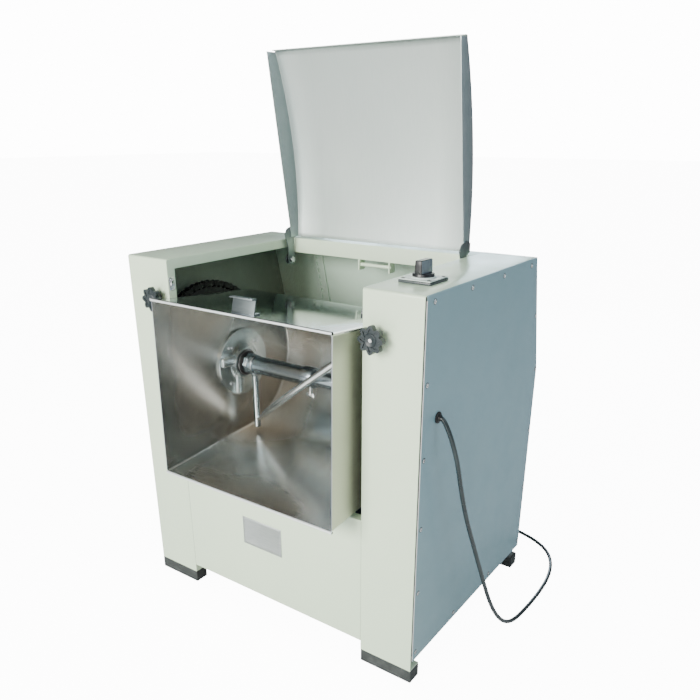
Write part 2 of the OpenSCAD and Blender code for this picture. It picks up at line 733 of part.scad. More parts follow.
jack_x0 = sprocket_x - sprocket_hub;
jack_x1 = bearing_x + bearing_t + jack_housing_t + 2;
module jackshaft() color([0.6, 0.62, 0.63]) place() rod_x(jack_x0, jack_x1, jack_y, jack_z, jack_r);

motor_shaft_r = 9;
motor_x0 = 150;
motor_x1 = motor_x0 + motor_len;
motor_foot_z = sheet + rail;
end_bell = 6;
front_bell = 16;
rear_bell = 40;
motor_nose_r = 32;
feet_from_nose = 36;
feet_from_tail = 60;
motor_feet_x0 = motor_x0 + feet_from_nose;
motor_feet_x1 = motor_x1 - feet_from_tail;
motor_feet_w = 120;
motor_feet_t = 10;
mount_t = 4;
mount_over = 10;
block_in = 10;
block_w = 80;
shaft_stub = 58;
module motor_body() {
    feet_z = motor_foot_z + mount_t;
    color([0.35, 0.42, 0.46]) place() difference() {
        union() {
            rod_x(motor_x0, motor_x1, motor_y, motor_z, motor_r - end_bell);
            rod_x(motor_x0 + front_bell, motor_x1 - rear_bell, motor_y, motor_z, motor_r);
            rod_x(motor_x0 - front_bell, motor_x0, motor_y, motor_z, motor_nose_r);
            box(motor_feet_x0, motor_feet_x1, motor_y - motor_feet_w / 2, motor_y + motor_feet_w / 2,
                feet_z, feet_z + motor_feet_t);
            box(motor_feet_x0 + block_in, motor_feet_x1 - block_in, motor_y - block_w / 2,
                motor_y + block_w / 2, feet_z + motor_feet_t, motor_z);
        }
        rod_x(motor_x0 - front_bell - 1, motor_x0 + shaft_stub + 1, motor_y, motor_z, motor_shaft_r + run_fit);
    }
}
module motor_mount() {
    color([0.35, 0.37, 0.36]) place()
        box(motor_feet_x0 - mount_over, motor_feet_x1 + mount_over,
            motor_y - motor_feet_w / 2 - mount_over, motor_y + motor_feet_w / 2 + 1.5 * mount_over,
            motor_foot_z, motor_foot_z + mount_t);
}
terminal_w = 90;
terminal_h = 64;
terminal_d = 34;
module motor_terminal_box() {
    x0 = motor_feet_x0 + block_in;
    color([0.35, 0.42, 0.46]) place()
        box(x0, x0 + terminal_w, motor_y - motor_r - terminal_d, motor_y - motor_r - clear,
            motor_z - terminal_h / 2, motor_z + terminal_h / 2);
}
motor_shaft_x0 = belt_x - belt_w;
module motor_shaft() color([0.6, 0.62, 0.63]) place()
    rod_x(motor_shaft_x0, motor_x0 + shaft_stub, motor_y, motor_z, motor_shaft_r);

// ---------------------------------------------------------------- lid
hinge_z = cabinet_h - hinge_drop;
lid_x0 = mid_x - lid_w / 2;
lid_x1 = mid_x + lid_w / 2;
lid_foot_rise = 51;
lid_back = 28;
arch_rise = 57;
lid_lip = 10;
lid_foot_z = hinge_z + lid_foot_rise;
arch_z = lid_foot_z + arch_rise;
arch_y = hinge_y + lid_back - lid_arch_r;
// Strip of the lid's arch between two radii, cut to the lid's height
module lid_arch(r1, r0) intersection() {
    difference() {
        translate([arch_y, arch_z]) circle(r1, $fn = 180);
        translate([arch_y, arch_z]) circle(r0, $fn = 180);
    }
    translate([arch_y, lid_foot_z]) square([lid_arch_r + lid_flange, lid_len]);
}
lid_top_z = lid_foot_z + lid_len;
function lid_edge_y(z) = arch_y + sqrt(pow(lid_arch_r - lid_flange, 2) - pow(z - arch_z, 2));
// Side of the lid: the arch behind, a straight free edge in front
module lid_cheek() intersection() {
    translate([arch_y, arch_z]) circle(lid_arch_r, $fn = 180);
    polygon([
        [lid_edge_y(lid_foot_z), lid_foot_z], [arch_y + lid_arch_r, lid_foot_z],
        [arch_y + lid_arch_r, lid_top_z], [lid_edge_y(lid_top_z), lid_top_z]]);
}
module lid_sheet() {
    color([0.8, 0.8, 0.77]) place() {
        along_x(lid_x0, lid_x1) lid_arch(lid_arch_r, lid_arch_r - lid_t);
        along_x(lid_x0, lid_x0 + lid_t) lid_cheek();
        along_x(lid_x1 - lid_t, lid_x1) lid_cheek();
        along_x(lid_x0, lid_x1) intersection() {
            lid_arch(lid_arch_r, lid_arch_r - lid_lip);
            translate([arch_y, lid_top_z - lid_t]) square([lid_arch_r, lid_t]);
        }
    }
}
hinge_plate_t = 2.5;
hinge_lug_t = 3;
hinge_r = 11;
hinge_plate_w = lid_back + 18;
hinge_knee = 30;
// The plate climbs from the pin to the foot of the lid's side flange
module hinge_plate_outline() {
    flange_y = lid_back - 4;
    difference() {
        translate([hinge_y, hinge_z]) union() {
            circle(hinge_r);
            polygon([
                [-hinge_r, 0], [-hinge_r, hinge_knee], [flange_y - hinge_plate_w, lid_foot_rise + 8],
                [flange_y - hinge_plate_w + 8, lid_foot_rise + 20], [flange_y - 16, lid_foot_rise + 26],
                [flange_y, lid_foot_rise + 20], [flange_y, lid_foot_rise + 2],
                [hinge_r, lid_foot_rise - 4], [hinge_r, 0]]);
        }
        translate([hinge_y, hinge_z]) circle(hinge_pin_r + run_fit);
    }
}
module hinge_plates() color([0.62, 0.62, 0.6]) place() both_sides()
    along_x(lid_x0 - hinge_plate_t, lid_x0) hinge_plate_outline();
lug_x0 = column_w + clear;
lug_r = 12;
lug_rise = 36;
pin_past = 1;
pin_head_t = 3;
module hinge_lugs() {
    color([0.6, 0.6, 0.58]) place() both_sides() {
        difference() {
            along_x(lug_x0, lug_x0 + hinge_lug_t) union() {
                translate([hinge_y, hinge_z]) circle(lug_r);
                translate([hinge_y, hinge_z - lug_r]) square([hinge_out - clear, lug_r + lug_rise]);
                translate([hinge_y - hinge_pin_r, hinge_z]) square([hinge_out + hinge_pin_r - clear, lug_rise]);
            }
            rod_x(lug_x0 - 1, lug_x0 + hinge_lug_t + 1, hinge_y, hinge_z, hinge_pin_r);
        }
    }
}
module hinge_pins() {
    color([0.75, 0.75, 0.73]) place() both_sides() {
        rod_x(lug_x0, lid_x0 + lid_t + pin_past, hinge_y, hinge_z, hinge_pin_r);
        rod_x(lid_x0 + lid_t + pin_past, lid_x0 + lid_t + pin_past + pin_head_t, hinge_y, hinge_z,
            hinge_pin_r + 3);
    }
}

// ---------------------------------------------------------------- catches
catch_in = 5;
catch_drop = 11;
catch_rod_y = beam_y + catch_in;
catch_rod_z = cabinet_h - beam_h - catch_drop;
catch_w = 80;
catch_rod_r = 4;
ear_t = 3;
ear_d = 22;
ear_out = 7;
ear_low = 12;
rod_past = 3;
module bowl_catch() {
    color([0.84, 0.87, 0.82]) place() for (s = [-1, 1])
        translate([mid_x + s * catch_w / 2 - ear_t / 2, catch_rod_y, catch_rod_z]) difference() {
            translate([0, -ear_out, -ear_low]) cube([ear_t, ear_d, ear_low + catch_drop]);
            rod_x(-1, ear_t + 1, 0, 0, catch_rod_r);
        }
}
module catch_rod() {
    color([0.82, 0.83, 0.8]) place()
        rod_x(mid_x - catch_w / 2 - rod_past, mid_x + catch_w / 2 + rod_past, catch_rod_y, catch_rod_z,
            catch_rod_r);
}
clip_drop = 48;
clip_z = cabinet_h - clip_drop;
clip_h = 26;
clip_d = 14;
clip_t = 1.5;
clip_out = 6;
module lid_catches() {
    color([0.8, 0.8, 0.78]) place() both_sides() {
        box(column_w, column_w + clip_t, sheet, sheet + clip_d, clip_z - clip_h / 2, clip_z + clip_h / 2);
        box(column_w + clip_t, column_w + clip_out, 2 * sheet, clip_d, clip_z - clip_h / 6, clip_z + clip_h / 3);
    }
}

// ---------------------------------------------------------------- knobs and switch
knob_stand = 11;
knob_y = -knob_stand - knob_t;
knob_stud_r = 5;
stud_len = 50;
bush_r = knob_hole_r - 0.2;
bush_out = 2;
bush_len = 16;
nut_t = 3;
nut_wall = 5;
module knob_bushes() {
    color([0.5, 0.52, 0.52]) place() both_sides() difference() {
        union() {
            rod_y(-bush_out, bush_len - bush_out, knob_x, knob_z, bush_r);
            rod_y(sheet, sheet + nut_t, knob_x, knob_z, bush_r + nut_wall);
        }
        rod_y(-bush_out - 1, bush_len, knob_x, knob_z, knob_stud_r + run_fit);
    }
}
knob_hub_r = 11;
knob_hub_t = 8;
knob_dish_t = 3;
lobe_r = knob_r * 0.24;
module star_knob() {
    hub_y = knob_y + knob_t;
    difference() {
        union() {
            rod_y(knob_y, hub_y, knob_x, knob_z, knob_r * 0.8);
            for (k = [0:knob_lobes - 1])
                rod_y(knob_y, hub_y, knob_x + (knob_r - lobe_r) * cos(360 * k / knob_lobes),
                    knob_z + (knob_r - lobe_r) * sin(360 * k / knob_lobes), lobe_r);
            rod_y(hub_y, hub_y + knob_hub_t, knob_x, knob_z, knob_hub_r);
        }
        rod_y(knob_y - 1, knob_y + knob_dish_t, knob_x, knob_z, knob_r * 0.42);
    }
    rod_y(hub_y + knob_hub_t, hub_y + stud_len, knob_x, knob_z, knob_stud_r);
}
module left_knob() color([0.2, 0.23, 0.24]) place() star_knob();
module right_knob() color([0.2, 0.23, 0.24]) place() right_side() star_knob();

switch_plate_t = 7;
switch_ring_t = 2;
switch_ring_r = 21;
switch_stem_r = 5;
module switch_square(side, z0, z1) box(switch_x - side / 2, switch_x + side / 2,
    switch_y - side / 2, switch_y + side / 2, z0, z1);
module switch_plate() {
    top = cabinet_h + switch_plate_t;
    color([0.45, 0.5, 0.52]) place() difference() {
        union() {
            switch_square(switch_w, cabinet_h, top);
            rod_z(top, top + switch_ring_t, switch_x, switch_y, switch_ring_r);
        }
        rod_z(cabinet_h - 1, top + switch_ring_t + 1, switch_x, switch_y, switch_stem_r + run_fit);
    }
}
switch_body_h = 55;
module switch_body() {
    color([0.2, 0.2, 0.2]) place() difference() {
        union() {
            switch_square(switch_w - 10, cabinet_h - sheet - switch_body_h, cabinet_h - sheet);
            rod_z(cabinet_h - sheet, cabinet_h, switch_x, switch_y, switch_hole_r - clear);
        }
        rod_z(cabinet_h - stem_in - 1, cabinet_h + 1, switch_x, switch_y, switch_stem_r + run_fit);
    }
}
fin_w = 15;
fin_len = 38;
collar_h = 5;
handle_collar_r = 19;
stem_in = 29;
handle_z = cabinet_h + switch_plate_t + switch_ring_t + clear;
module switch_handle() {
    color([0.07, 0.07, 0.08]) place() {
        rod_z(handle_z, handle_z + collar_h, switch_x, switch_y, handle_collar_r);
        box(switch_x - fin_w / 2, switch_x + fin_w / 2, switch_y - fin_len / 2, switch_y + fin_len / 2,
            handle_z + collar_h, handle_z + handle_h);
        rod_z(cabinet_h - stem_in, handle_z, switch_x, switch_y, switch_stem_r);
    }
}

// ---------------------------------------------------------------- power cord
cord_r = cord_d / 2;
floor_z = -foot_h;
gland_len = 8;
gland_nut_t = 5;
gland_wall = 2;
module cable_gland() {
    color([0.1, 0.1, 0.1]) place() difference() {
        union() {
            rod_x(cabinet_w - panel_t - gland_nut_t, cabinet_w - panel_t - clear, gland_y, gland_z,
                gland_r + gland_wall);
            rod_x(cabinet_w - panel_t - clear, cabinet_w, gland_y, gland_z, gland_r - clear);
            rod_x(cabinet_w, cabinet_w + gland_nut_t, gland_y, gland_z, gland_r + gland_wall);
            translate([cabinet_w + gland_nut_t, gland_y, gland_z]) rotate([0, 90, 0])
                cylinder(h = gland_len - gland_nut_t, r1 = cord_r + gland_wall, r2 = cord_r + gland_wall / 2);
        }
        rod_x(cabinet_w - panel_t - gland_nut_t - 1, cabinet_w + gland_len + 1, gland_y, gland_z, cord_r + clear);
    }
}
// Centre line of the hanging cord and its run on the floor, in the cabinet's frame
cord_route = [
    [704, 56, 507], [709, 56, 505.6], [714.5, 56.5, 499.5], [720.5, 58, 486.5], [726, 61, 469.9], [730, 65, 451.7],
    [733, 71, 430.3], [734.5, 79, 404.4], [735.5, 93, 361.1], [737.3, 110, 313], [740, 128, 267.1], [744, 149, 217],
    [749, 170, 164], [754, 190, 114], [761, 208, 66], [769, 226, 28], [777, 247, 0], [783, 272, -17],
    [788, 302, -23.75], [792, 340, -23.75], [794, 384, -23.75], [794, 430, -23.75],
    [791, 476, -23.75], [783, 520, -23.75], [769, 560, -23.75], [747, 594, -23.75],
    [716, 620, -23.75], [678, 638, -23.75], [636, 649, -23.75], [592, 656, -23.75],
    [548, 661, -23.75], [510, 663.5, -23.75]];
// Spreads more points along the hand-set ones, on a smooth curve through them
function spline(p, k, t) =
    let (last = len(p) - 1, a = p[max(k - 1, 0)], b = p[k], c = p[min(k + 1, last)], d = p[min(k + 2, last)])
    0.5 * (2 * b + (c - a) * t + (2 * a - 5 * b + 4 * c - d) * t * t + (3 * b - a - 3 * c + d) * t * t * t);
function smooth(p, n) = concat(
    [for (k = [0:len(p) - 2], i = [0:n - 1]) spline(p, k, i / n)], [p[len(p) - 1]]);
module power_cord() {
    color([0.1, 0.13, 0.12]) place() tube(smooth(cord_route, 2), cord_r, 8);
}
coil_x = 506;
coil_y = 604;
coil_turns = 3;
coil_out_r = 64;
coil_in_r = coil_out_r - coil_turns * cord_d - 1;
module cord_coil() {
    color([0.1, 0.13, 0.12]) place() translate([coil_x, coil_y, floor_z]) rotate_extrude()
        translate([coil_in_r, 0.1]) square([coil_out_r - coil_in_r - clear, cord_d]);
}
plug_r = 18;
boot_len = 22;
plug_len = 42;
plug_x = 380;
// The inner end of the coil climbs over the turns and runs straight to the plug
tail_r = coil_out_r - coil_turns * cord_d - cord_r + 2;
tail_z = floor_z + 1.5 * cord_d + 0.4;
plug_y = coil_y + tail_r;
plug_z = floor_z + plug_r + 0.2;
pin_apart = 19;
pin_len = 19;
pin_r = 2.4;
boot_r = 8;
tail_route = concat(
    [for (a = [30:12:90]) [coil_x + tail_r * cos(a), coil_y + tail_r * sin(a), tail_z]],
    [for (k = [1:8]) [coil_x - k * (coil_x - plug_x - boot_len) / 8, coil_y + tail_r,
        tail_z + (plug_z - tail_z) * k / 8]]);
module cord_tail() {
    color([0.1, 0.13, 0.12]) place() tube(tail_route, cord_r, 8);
}
module cord_plug() {
    color([0.1, 0.1, 0.1]) place() {
        rod_x(plug_x - plug_len, plug_x, plug_y, plug_z, plug_r);
        for (s = [-1, 1])
            rod_x(plug_x - plug_len - pin_len, plug_x - plug_len, plug_y + s * pin_apart / 2, plug_z, pin_r);
        rod_x(plug_x, plug_x + boot_len, plug_y, plug_z, boot_r);
    }
}

left_column();
right_column();
left_side_panel();
right_side_panel();
side_panel_screws();
front_panel();
rear_panel();
rear_crossbeam();
rear_stiffener();
name_plate();
base_frame();
front_left_foot();
front_right_foot();
rear_left_foot();
rear_right_foot();
left_bearing_plate();
right_bearing_plate();
shaft_bearings();
jackshaft_bearings();
bowl_shell();
bowl_hook();
seal_flanges();
flange_screws();
bowl_trunnions();
agitator_shaft();
shaft_seals();
shaft_sleeve();
left_arm();
right_arm();
kneading_bar();
set_screw();
large_sprocket();
small_sprocket();
drive_chain();
large_pulley();
small_pulley();
v_belt();
jackshaft();
motor_body();
motor_mount();
motor_terminal_box();
motor_shaft();
lid_sheet();
hinge_plates();
hinge_lugs();
hinge_pins();
bowl_catch();
catch_rod();
lid_catches();
knob_bushes();
left_knob();
right_knob();
switch_plate();
switch_body();
switch_handle();
cable_gland();
power_cord();
cord_coil();
cord_tail();
cord_plug();
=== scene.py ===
"""Looks of a tilting-bowl dough mixer: painted sheet cabinet, steel bowl and lid, kneading tool,
star knobs, rotary switch, chain and belt drive, feet and mains cord."""
import math

import bpy
import bmesh
from mathutils import Matrix, Vector


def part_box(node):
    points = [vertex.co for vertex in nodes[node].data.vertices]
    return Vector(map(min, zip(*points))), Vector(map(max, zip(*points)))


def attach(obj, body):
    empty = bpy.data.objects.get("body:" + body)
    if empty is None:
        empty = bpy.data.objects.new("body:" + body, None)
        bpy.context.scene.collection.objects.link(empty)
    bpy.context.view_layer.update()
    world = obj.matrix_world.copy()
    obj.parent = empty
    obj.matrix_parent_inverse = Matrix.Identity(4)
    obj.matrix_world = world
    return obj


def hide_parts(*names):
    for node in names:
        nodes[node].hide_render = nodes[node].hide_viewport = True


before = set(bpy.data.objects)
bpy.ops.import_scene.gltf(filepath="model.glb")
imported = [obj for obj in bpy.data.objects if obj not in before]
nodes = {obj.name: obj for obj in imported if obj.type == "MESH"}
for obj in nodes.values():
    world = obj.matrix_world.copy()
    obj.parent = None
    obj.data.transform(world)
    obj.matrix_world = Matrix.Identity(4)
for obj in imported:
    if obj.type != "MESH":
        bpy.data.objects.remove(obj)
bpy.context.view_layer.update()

MM = 0.001
FOOT_HIGH, FOOT_DEEP = 28, 32
MIDDLE_X, MIDDLE_Y = 350, 220
ORIGIN = Vector((MIDDLE_X, MIDDLE_Y, -FOOT_HIGH))


def spot(x, y, z):
    """A point given in millimetres from the cabinet's left front bottom corner, in the part's frame."""
    return (Vector((x, y, z)) - ORIGIN) * MM


# ------------------------------------------------------------------ camera
LENS = 36.182
SHIFT = 0.11
CAMERA_AT = spot(1215.6, -933.8, 950.9)
CAMERA_YAW = 35.162
CAMERA_PITCH = 22.646


def make_camera():
    data = bpy.data.cameras.new("studio_camera")
    data.lens = LENS
    data.sensor_width = 36
    data.shift_y = SHIFT
    data.clip_start = 0.02
    camera = bpy.data.objects.new("studio_camera", data)
    camera.location = CAMERA_AT
    camera.rotation_euler = (math.radians(90 - CAMERA_PITCH), 0, math.radians(CAMERA_YAW))
    bpy.context.scene.collection.objects.link(camera)
    bpy.context.scene.camera = camera


# ------------------------------------------------------------------ modelling helpers
def clear():
    bpy.ops.object.select_all(action="DESELECT")


def only(obj):
    clear()
    bpy.context.view_layer.objects.active = obj
    obj.select_set(True)
    return obj


def edit(obj):
    only(obj)
    bpy.ops.object.mode_set(mode="EDIT")
    bpy.ops.mesh.select_all(action="DESELECT")


def done():
    bpy.ops.object.mode_set(mode="OBJECT")


def select_faces(obj, test):
    """Selects, in edit mode, the faces whose centre and normal pass the test."""
    mesh = bmesh.from_edit_mesh(obj.data)
    bpy.ops.mesh.select_mode(type="FACE")
    for face in mesh.faces:
        face.select_set(bool(test(face.calc_center_median(), face.normal)))
    mesh.select_flush(True)
    bmesh.update_edit_mesh(obj.data)


def modify(obj, kind, **values):
    """Adds a modifier, sets it and applies it."""
    only(obj)
    modifier = obj.modifiers.new(kind.lower(), kind)
    for key, value in values.items():
        setattr(modifier, key, value)
    bpy.ops.object.modifier_apply(modifier=modifier.name)
    return obj


def bevel(obj, width, segments=2, angle=35):
    return modify(obj, "BEVEL", width=width * MM, segments=segments, limit_method="ANGLE",
                  angle_limit=math.radians(angle), harden_normals=False)


def smooth(obj, angle=32):
    only(obj)
    bpy.ops.object.shade_smooth_by_angle(angle=math.radians(angle))
    return obj


def apply_place(obj):
    only(obj)
    bpy.ops.object.transform_apply(location=True, rotation=True, scale=True)
    return obj


def blank(name):
    """An object with a mesh still to be built, vertex by vertex."""
    clear()
    bpy.ops.mesh.primitive_plane_add(size=1)
    bpy.context.object.name = name
    return bpy.context.object, bmesh.new()


def fill(obj, mesh):
    """Puts the built mesh into its object."""
    mesh.normal_update()
    mesh.to_mesh(obj.data)
    mesh.free()


def face_out(obj):
    """Turns the normals of a closed shape outward."""
    edit(obj)
    bpy.ops.mesh.select_all(action="SELECT")
    bpy.ops.mesh.normals_make_consistent(inside=False)
    done()


def prism(mesh, near, far):
    """Joins two matching outlines with end faces and sides."""
    near, far = [mesh.verts.new(p) for p in near], [mesh.verts.new(p) for p in far]
    mesh.faces.new(near[::-1])
    mesh.faces.new(far)
    for k in range(len(near)):
        j = (k + 1) % len(near)
        mesh.faces.new((near[k], near[j], far[j], far[k]))


def rounded(r, *degrees):
    """Points of a fold's quarter round, as (along one sheet, along the other)."""
    return [(r * (1 - math.cos(a)), r * (1 - math.sin(a))) for a in map(math.radians, degrees)]


def block(name, low, high):
    """A box between two corners in cabinet millimetres."""
    a, b = spot(*low), spot(*high)
    clear()
    bpy.ops.mesh.primitive_cube_add(size=1, location=(a + b) / 2)
    obj = bpy.context.object
    obj.name = name
    obj.scale = b - a
    return apply_place(obj)


AXES = {"x": Vector((1, 0, 0)), "y": Vector((0, 1, 0)), "z": Vector((0, 0, 1))}


def rod(name, axis, start, length, r, sides=48):
    """A round bar from a point along x, y or z, in cabinet millimetres."""
    direction = AXES[axis]
    centre = spot(*start) + direction * length * MM / 2
    turn = direction.to_track_quat("Z", "Y").to_euler()
    clear()
    bpy.ops.mesh.primitive_cone_add(vertices=sides, radius1=r * MM, radius2=r * MM, depth=length * MM,
                                    location=centre, rotation=turn)
    bpy.context.object.name = name
    return apply_place(bpy.context.object)


def turned(name, axis, start, profile, sides=64):
    """A turned piece: (distance along the axis, radius) pairs, spun about x, y or z from a start point."""
    obj, mesh = blank(name)
    points = [mesh.verts.new((r * MM, 0, d * MM)) for d, r in profile]
    for a, b in zip(points, points[1:]):
        mesh.edges.new((a, b))
    fill(obj, mesh)
    edit(obj)
    bpy.ops.mesh.select_all(action="SELECT")
    bpy.ops.mesh.spin(steps=sides, angle=2 * math.pi, center=(0, 0, 0), axis=(0, 0, 1))
    bpy.ops.mesh.select_all(action="SELECT")
    bpy.ops.mesh.remove_doubles(threshold=1e-6)
    bpy.ops.mesh.normals_make_consistent(inside=False)
    done()
    obj.rotation_euler = AXES[axis].to_track_quat("Z", "Y").to_euler()
    obj.location = spot(*start)
    apply_place(obj)
    return smooth(obj, 40)


def cut(obj, *tools):
    """Takes the tools' shapes out of a piece, and deletes the tools."""
    for tool in tools:
        modify(obj, "BOOLEAN", operation="DIFFERENCE", object=tool, solver="EXACT")
        bpy.data.objects.remove(tool)
    return obj


def joined(name, *pieces):
    clear()
    for piece in pieces:
        piece.select_set(True)
    bpy.context.view_layer.objects.active = pieces[0]
    bpy.ops.object.join()
    pieces[0].name = name
    return pieces[0]


def copied(obj, name, move, flip_x=False):
    """A copy with its own mesh, moved by millimetres, or mirrored to the other side of the cabinet."""
    twin = obj.copy()
    twin.data = obj.data.copy()
    twin.name = name
    bpy.context.scene.collection.objects.link(twin)
    if flip_x:
        twin.data.transform(Matrix.Diagonal((-1, 1, 1, 1)))
        twin.data.flip_normals()
    twin.data.transform(Matrix.Translation(move * MM))
    return twin


def softened(node, width=0.6, segments=2, angle=35):
    """A copy of a CAD node with merged faces and rounded edges, standing for the node."""
    source = nodes[node]
    twin = source.copy()
    twin.data = source.data.copy()
    twin.parent = None
    twin.matrix_world = Matrix.Identity(4)
    for key in list(twin.keys()):
        if key.startswith("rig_"):
            del twin[key]
    twin.name = "soft_" + node
    twin.hide_render = twin.hide_viewport = False
    bpy.context.scene.collection.objects.link(twin)
    edit(twin)
    bpy.ops.mesh.select_all(action="SELECT")
    bpy.ops.mesh.remove_doubles(threshold=2e-6)
    bpy.ops.mesh.select_all(action="SELECT")
    bpy.ops.mesh.dissolve_limited(angle_limit=math.radians(1.5))
    done()
    if width:
        bevel(twin, width, segments, angle)
    smooth(twin, 40)
    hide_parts(node)
    return twin


def set_on(obj, body, finish, slot, *replaced):
    """Gives a finished piece its material, the body it rides on and the nodes it stands for."""
    obj.data.materials.clear()
    obj.data.materials.append(finish)
    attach(obj, body)
    if replaced:
        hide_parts(*replaced)
    return obj


def set_on_softened(rows, segments, angle=35):
    """Softened copies of CAD nodes, from rows of node, body, edge width, material and slot."""
    for node, body, width, finish, slot in rows:
        set_on(softened(node, width, segments, angle), body, finish, slot)


def finish_faces(obj, finish, test):
    """Gives the faces that pass the test a finish of their own."""
    obj.data.materials.append(finish)
    edit(obj)
    select_faces(obj, test)
    obj.active_material_index = len(obj.data.materials) - 1
    bpy.ops.object.material_slot_assign()
    done()


# ------------------------------------------------------------------ shader groups
def new_group(name, inputs):
    """A shader group that gives a colour, a roughness and a height."""
    group = bpy.data.node_groups.new(name, "ShaderNodeTree")
    for label, kind, value in inputs:
        socket = group.interface.new_socket(label, in_out="INPUT", socket_type="NodeSocket" + kind)
        if value is not None:
            socket.default_value = value
    for label, kind in (("Color", "Color"), ("Roughness", "Float"), ("Height", "Float")):
        group.interface.new_socket(label, in_out="OUTPUT", socket_type="NodeSocket" + kind)
    return group, group.nodes.new("NodeGroupInput").outputs, group.nodes.new("NodeGroupOutput").inputs


def add(tree, kind, links=(), **values):
    """Adds a node, sets its values and links its inputs from (input, output socket) pairs."""
    node = tree.nodes.new("ShaderNode" + kind)
    for key, value in values.items():
        setattr(node, key, value)
    for key, value in links:
        if isinstance(value, bpy.types.NodeSocket):
            tree.links.new(value, node.inputs[key])
        else:
            node.inputs[key].default_value = value
    return node


def ramp(tree, fac, low, high, dark=0.0, light=1.0):
    """Maps a value from low..high to dark..light."""
    return add(tree, "MapRange", [("Value", fac), ("From Min", low), ("From Max", high),
                                  ("To Min", dark), ("To Max", light)]).outputs["Result"]


def mix(tree, fac, a, b):
    return add(tree, "Mix", [(0, fac), (6, a), (7, b)], data_type="RGBA").outputs[2]


def noise(tree, vector, scale, detail, **more):
    """The value of a noise texture."""
    return add(tree, "TexNoise", [("Vector", vector), ("Scale", scale), ("Detail", detail),
                                  *more.items()]).outputs["Fac"]


def total(tree, a, b):
    return add(tree, "Math", [(0, a), (1, b)], operation="ADD").outputs[0]


def product(tree, a, b):
    return add(tree, "Math", [(0, a), (1, b)], operation="MULTIPLY").outputs[0]


def finished(group, end, tint, rough, height):
    """Links a group's three results and returns the group."""
    for label, socket in (("Color", tint), ("Roughness", rough), ("Height", height)):
        group.links.new(socket, end[label])
    return group


def paint_group():
    """Powder coat: soft cloudy colour, fine orange peel and faint handling marks."""
    group, given, end = new_group(
        "powder_coat",
        [("Vector", "Vector", None), ("Color", "Color", (0.8, 0.8, 0.8, 1)),
         ("Shade", "Color", (0.7, 0.7, 0.7, 1)), ("Peel Scale", "Float", 900.0), ("Roughness", "Float", 0.4)])
    cloud = noise(group, given["Vector"], 3.2, 3.0)
    mark = noise(group, given["Vector"], 21.0, 6.0)
    peel = noise(group, given["Vector"], given["Peel Scale"], 2.0)
    tint = mix(group, ramp(group, cloud, 0.38, 0.66, 0.0, 0.55), given["Color"], given["Shade"])
    tint = mix(group, ramp(group, mark, 0.56, 0.74, 0.0, 0.16), tint, given["Shade"])
    rough = total(group, given["Roughness"], ramp(group, mark, 0.35, 0.7, -0.05, 0.10))
    return finished(group, end, tint, rough, peel)


def steel_group():
    """Rolled or brushed steel: long fine grain lines, cloudy handling stains and uneven gloss."""
    group, given, end = new_group(
        "steel_grain",
        [("Vector", "Vector", None), ("Place", "Vector", None), ("Color", "Color", (0.7, 0.7, 0.7, 1)),
         ("Stain", "Color", (0.5, 0.47, 0.42, 1)), ("Grain Scale", "Float", 600.0), ("Grain", "Float", 1.0),
         ("Roughness", "Float", 0.28), ("Stain Amount", "Float", 0.35)])
    lines = noise(group, given["Vector"], given["Grain Scale"], 4.0, Roughness=0.6)
    cloud = noise(group, given["Place"], 4.5, 0.5, Distortion=0.3)
    stain = product(group, ramp(group, cloud, 0.34, 0.66), given["Stain Amount"])
    tint = mix(group, stain, given["Color"], given["Stain"])
    glint = product(group, ramp(group, lines, 0.35, 0.65, 0.0, 0.25), given["Grain"])
    tint = mix(group, glint, tint, (0.92, 0.92, 0.9, 1))
    lined = product(group, ramp(group, lines, 0.3, 0.7, -0.05, 0.07), given["Grain"])
    gloss = total(group, lined, ramp(group, cloud, 0.35, 0.7, -0.02, 0.05))
    return finished(group, end, tint, total(group, given["Roughness"], gloss), lines)


def moulded_group():
    """Moulded plastic or rubber: fine leathery texture, dusty high spots and dull patches."""
    group, given, end = new_group(
        "moulded_skin",
        [("Vector", "Vector", None), ("Color", "Color", (0.1, 0.1, 0.1, 1)),
         ("Dust", "Color", (0.3, 0.3, 0.3, 1)), ("Texture Scale", "Float", 900.0),
         ("Roughness", "Float", 0.5)])
    skin = add(group, "TexVoronoi", [("Vector", given["Vector"]), ("Scale", given["Texture Scale"])])
    cloud = noise(group, given["Vector"], 38.0, 6.0)
    tint = mix(group, ramp(group, cloud, 0.48, 0.72, 0.0, 0.6), given["Color"], given["Dust"])
    rough = total(group, given["Roughness"], ramp(group, cloud, 0.35, 0.7, -0.08, 0.12))
    return finished(group, end, tint, rough, skin.outputs["Distance"])


GROUPS = {"paint": paint_group(), "steel": steel_group(), "moulded": moulded_group()}


def material(name, group, values, metallic=0.0, bump=0.02, stretch=(1, 1, 1), coat=0.0):
    """A material that feeds one shader group, in Object coordinates, into a Principled BSDF."""
    made = bpy.data.materials.new(name)
    made.use_nodes = True
    tree = made.node_tree
    tree.nodes.clear()
    place = add(tree, "TexCoord")
    mapping = add(tree, "Mapping", [("Vector", place.outputs["Object"])])
    mapping.inputs["Scale"].default_value = stretch
    skin = tree.nodes.new("ShaderNodeGroup")
    skin.node_tree = GROUPS[group]
    tree.links.new(mapping.outputs["Vector"], skin.inputs["Vector"])
    if group == "steel":
        tree.links.new(place.outputs["Object"], skin.inputs["Place"])
    for key, value in values.items():
        skin.inputs[key].default_value = value
    relief = add(tree, "Bump", [("Height", skin.outputs["Height"]), ("Strength", bump), ("Distance", 0.0004)])
    surface = add(tree, "BsdfPrincipled", [
        ("Base Color", skin.outputs["Color"]), ("Roughness", skin.outputs["Roughness"]),
        ("Normal", relief.outputs["Normal"]), ("Metallic", metallic), ("Coat Weight", coat),
        ("Coat Roughness", 0.15)])
    add(tree, "OutputMaterial", [("Surface", surface.outputs["BSDF"])])
    return made


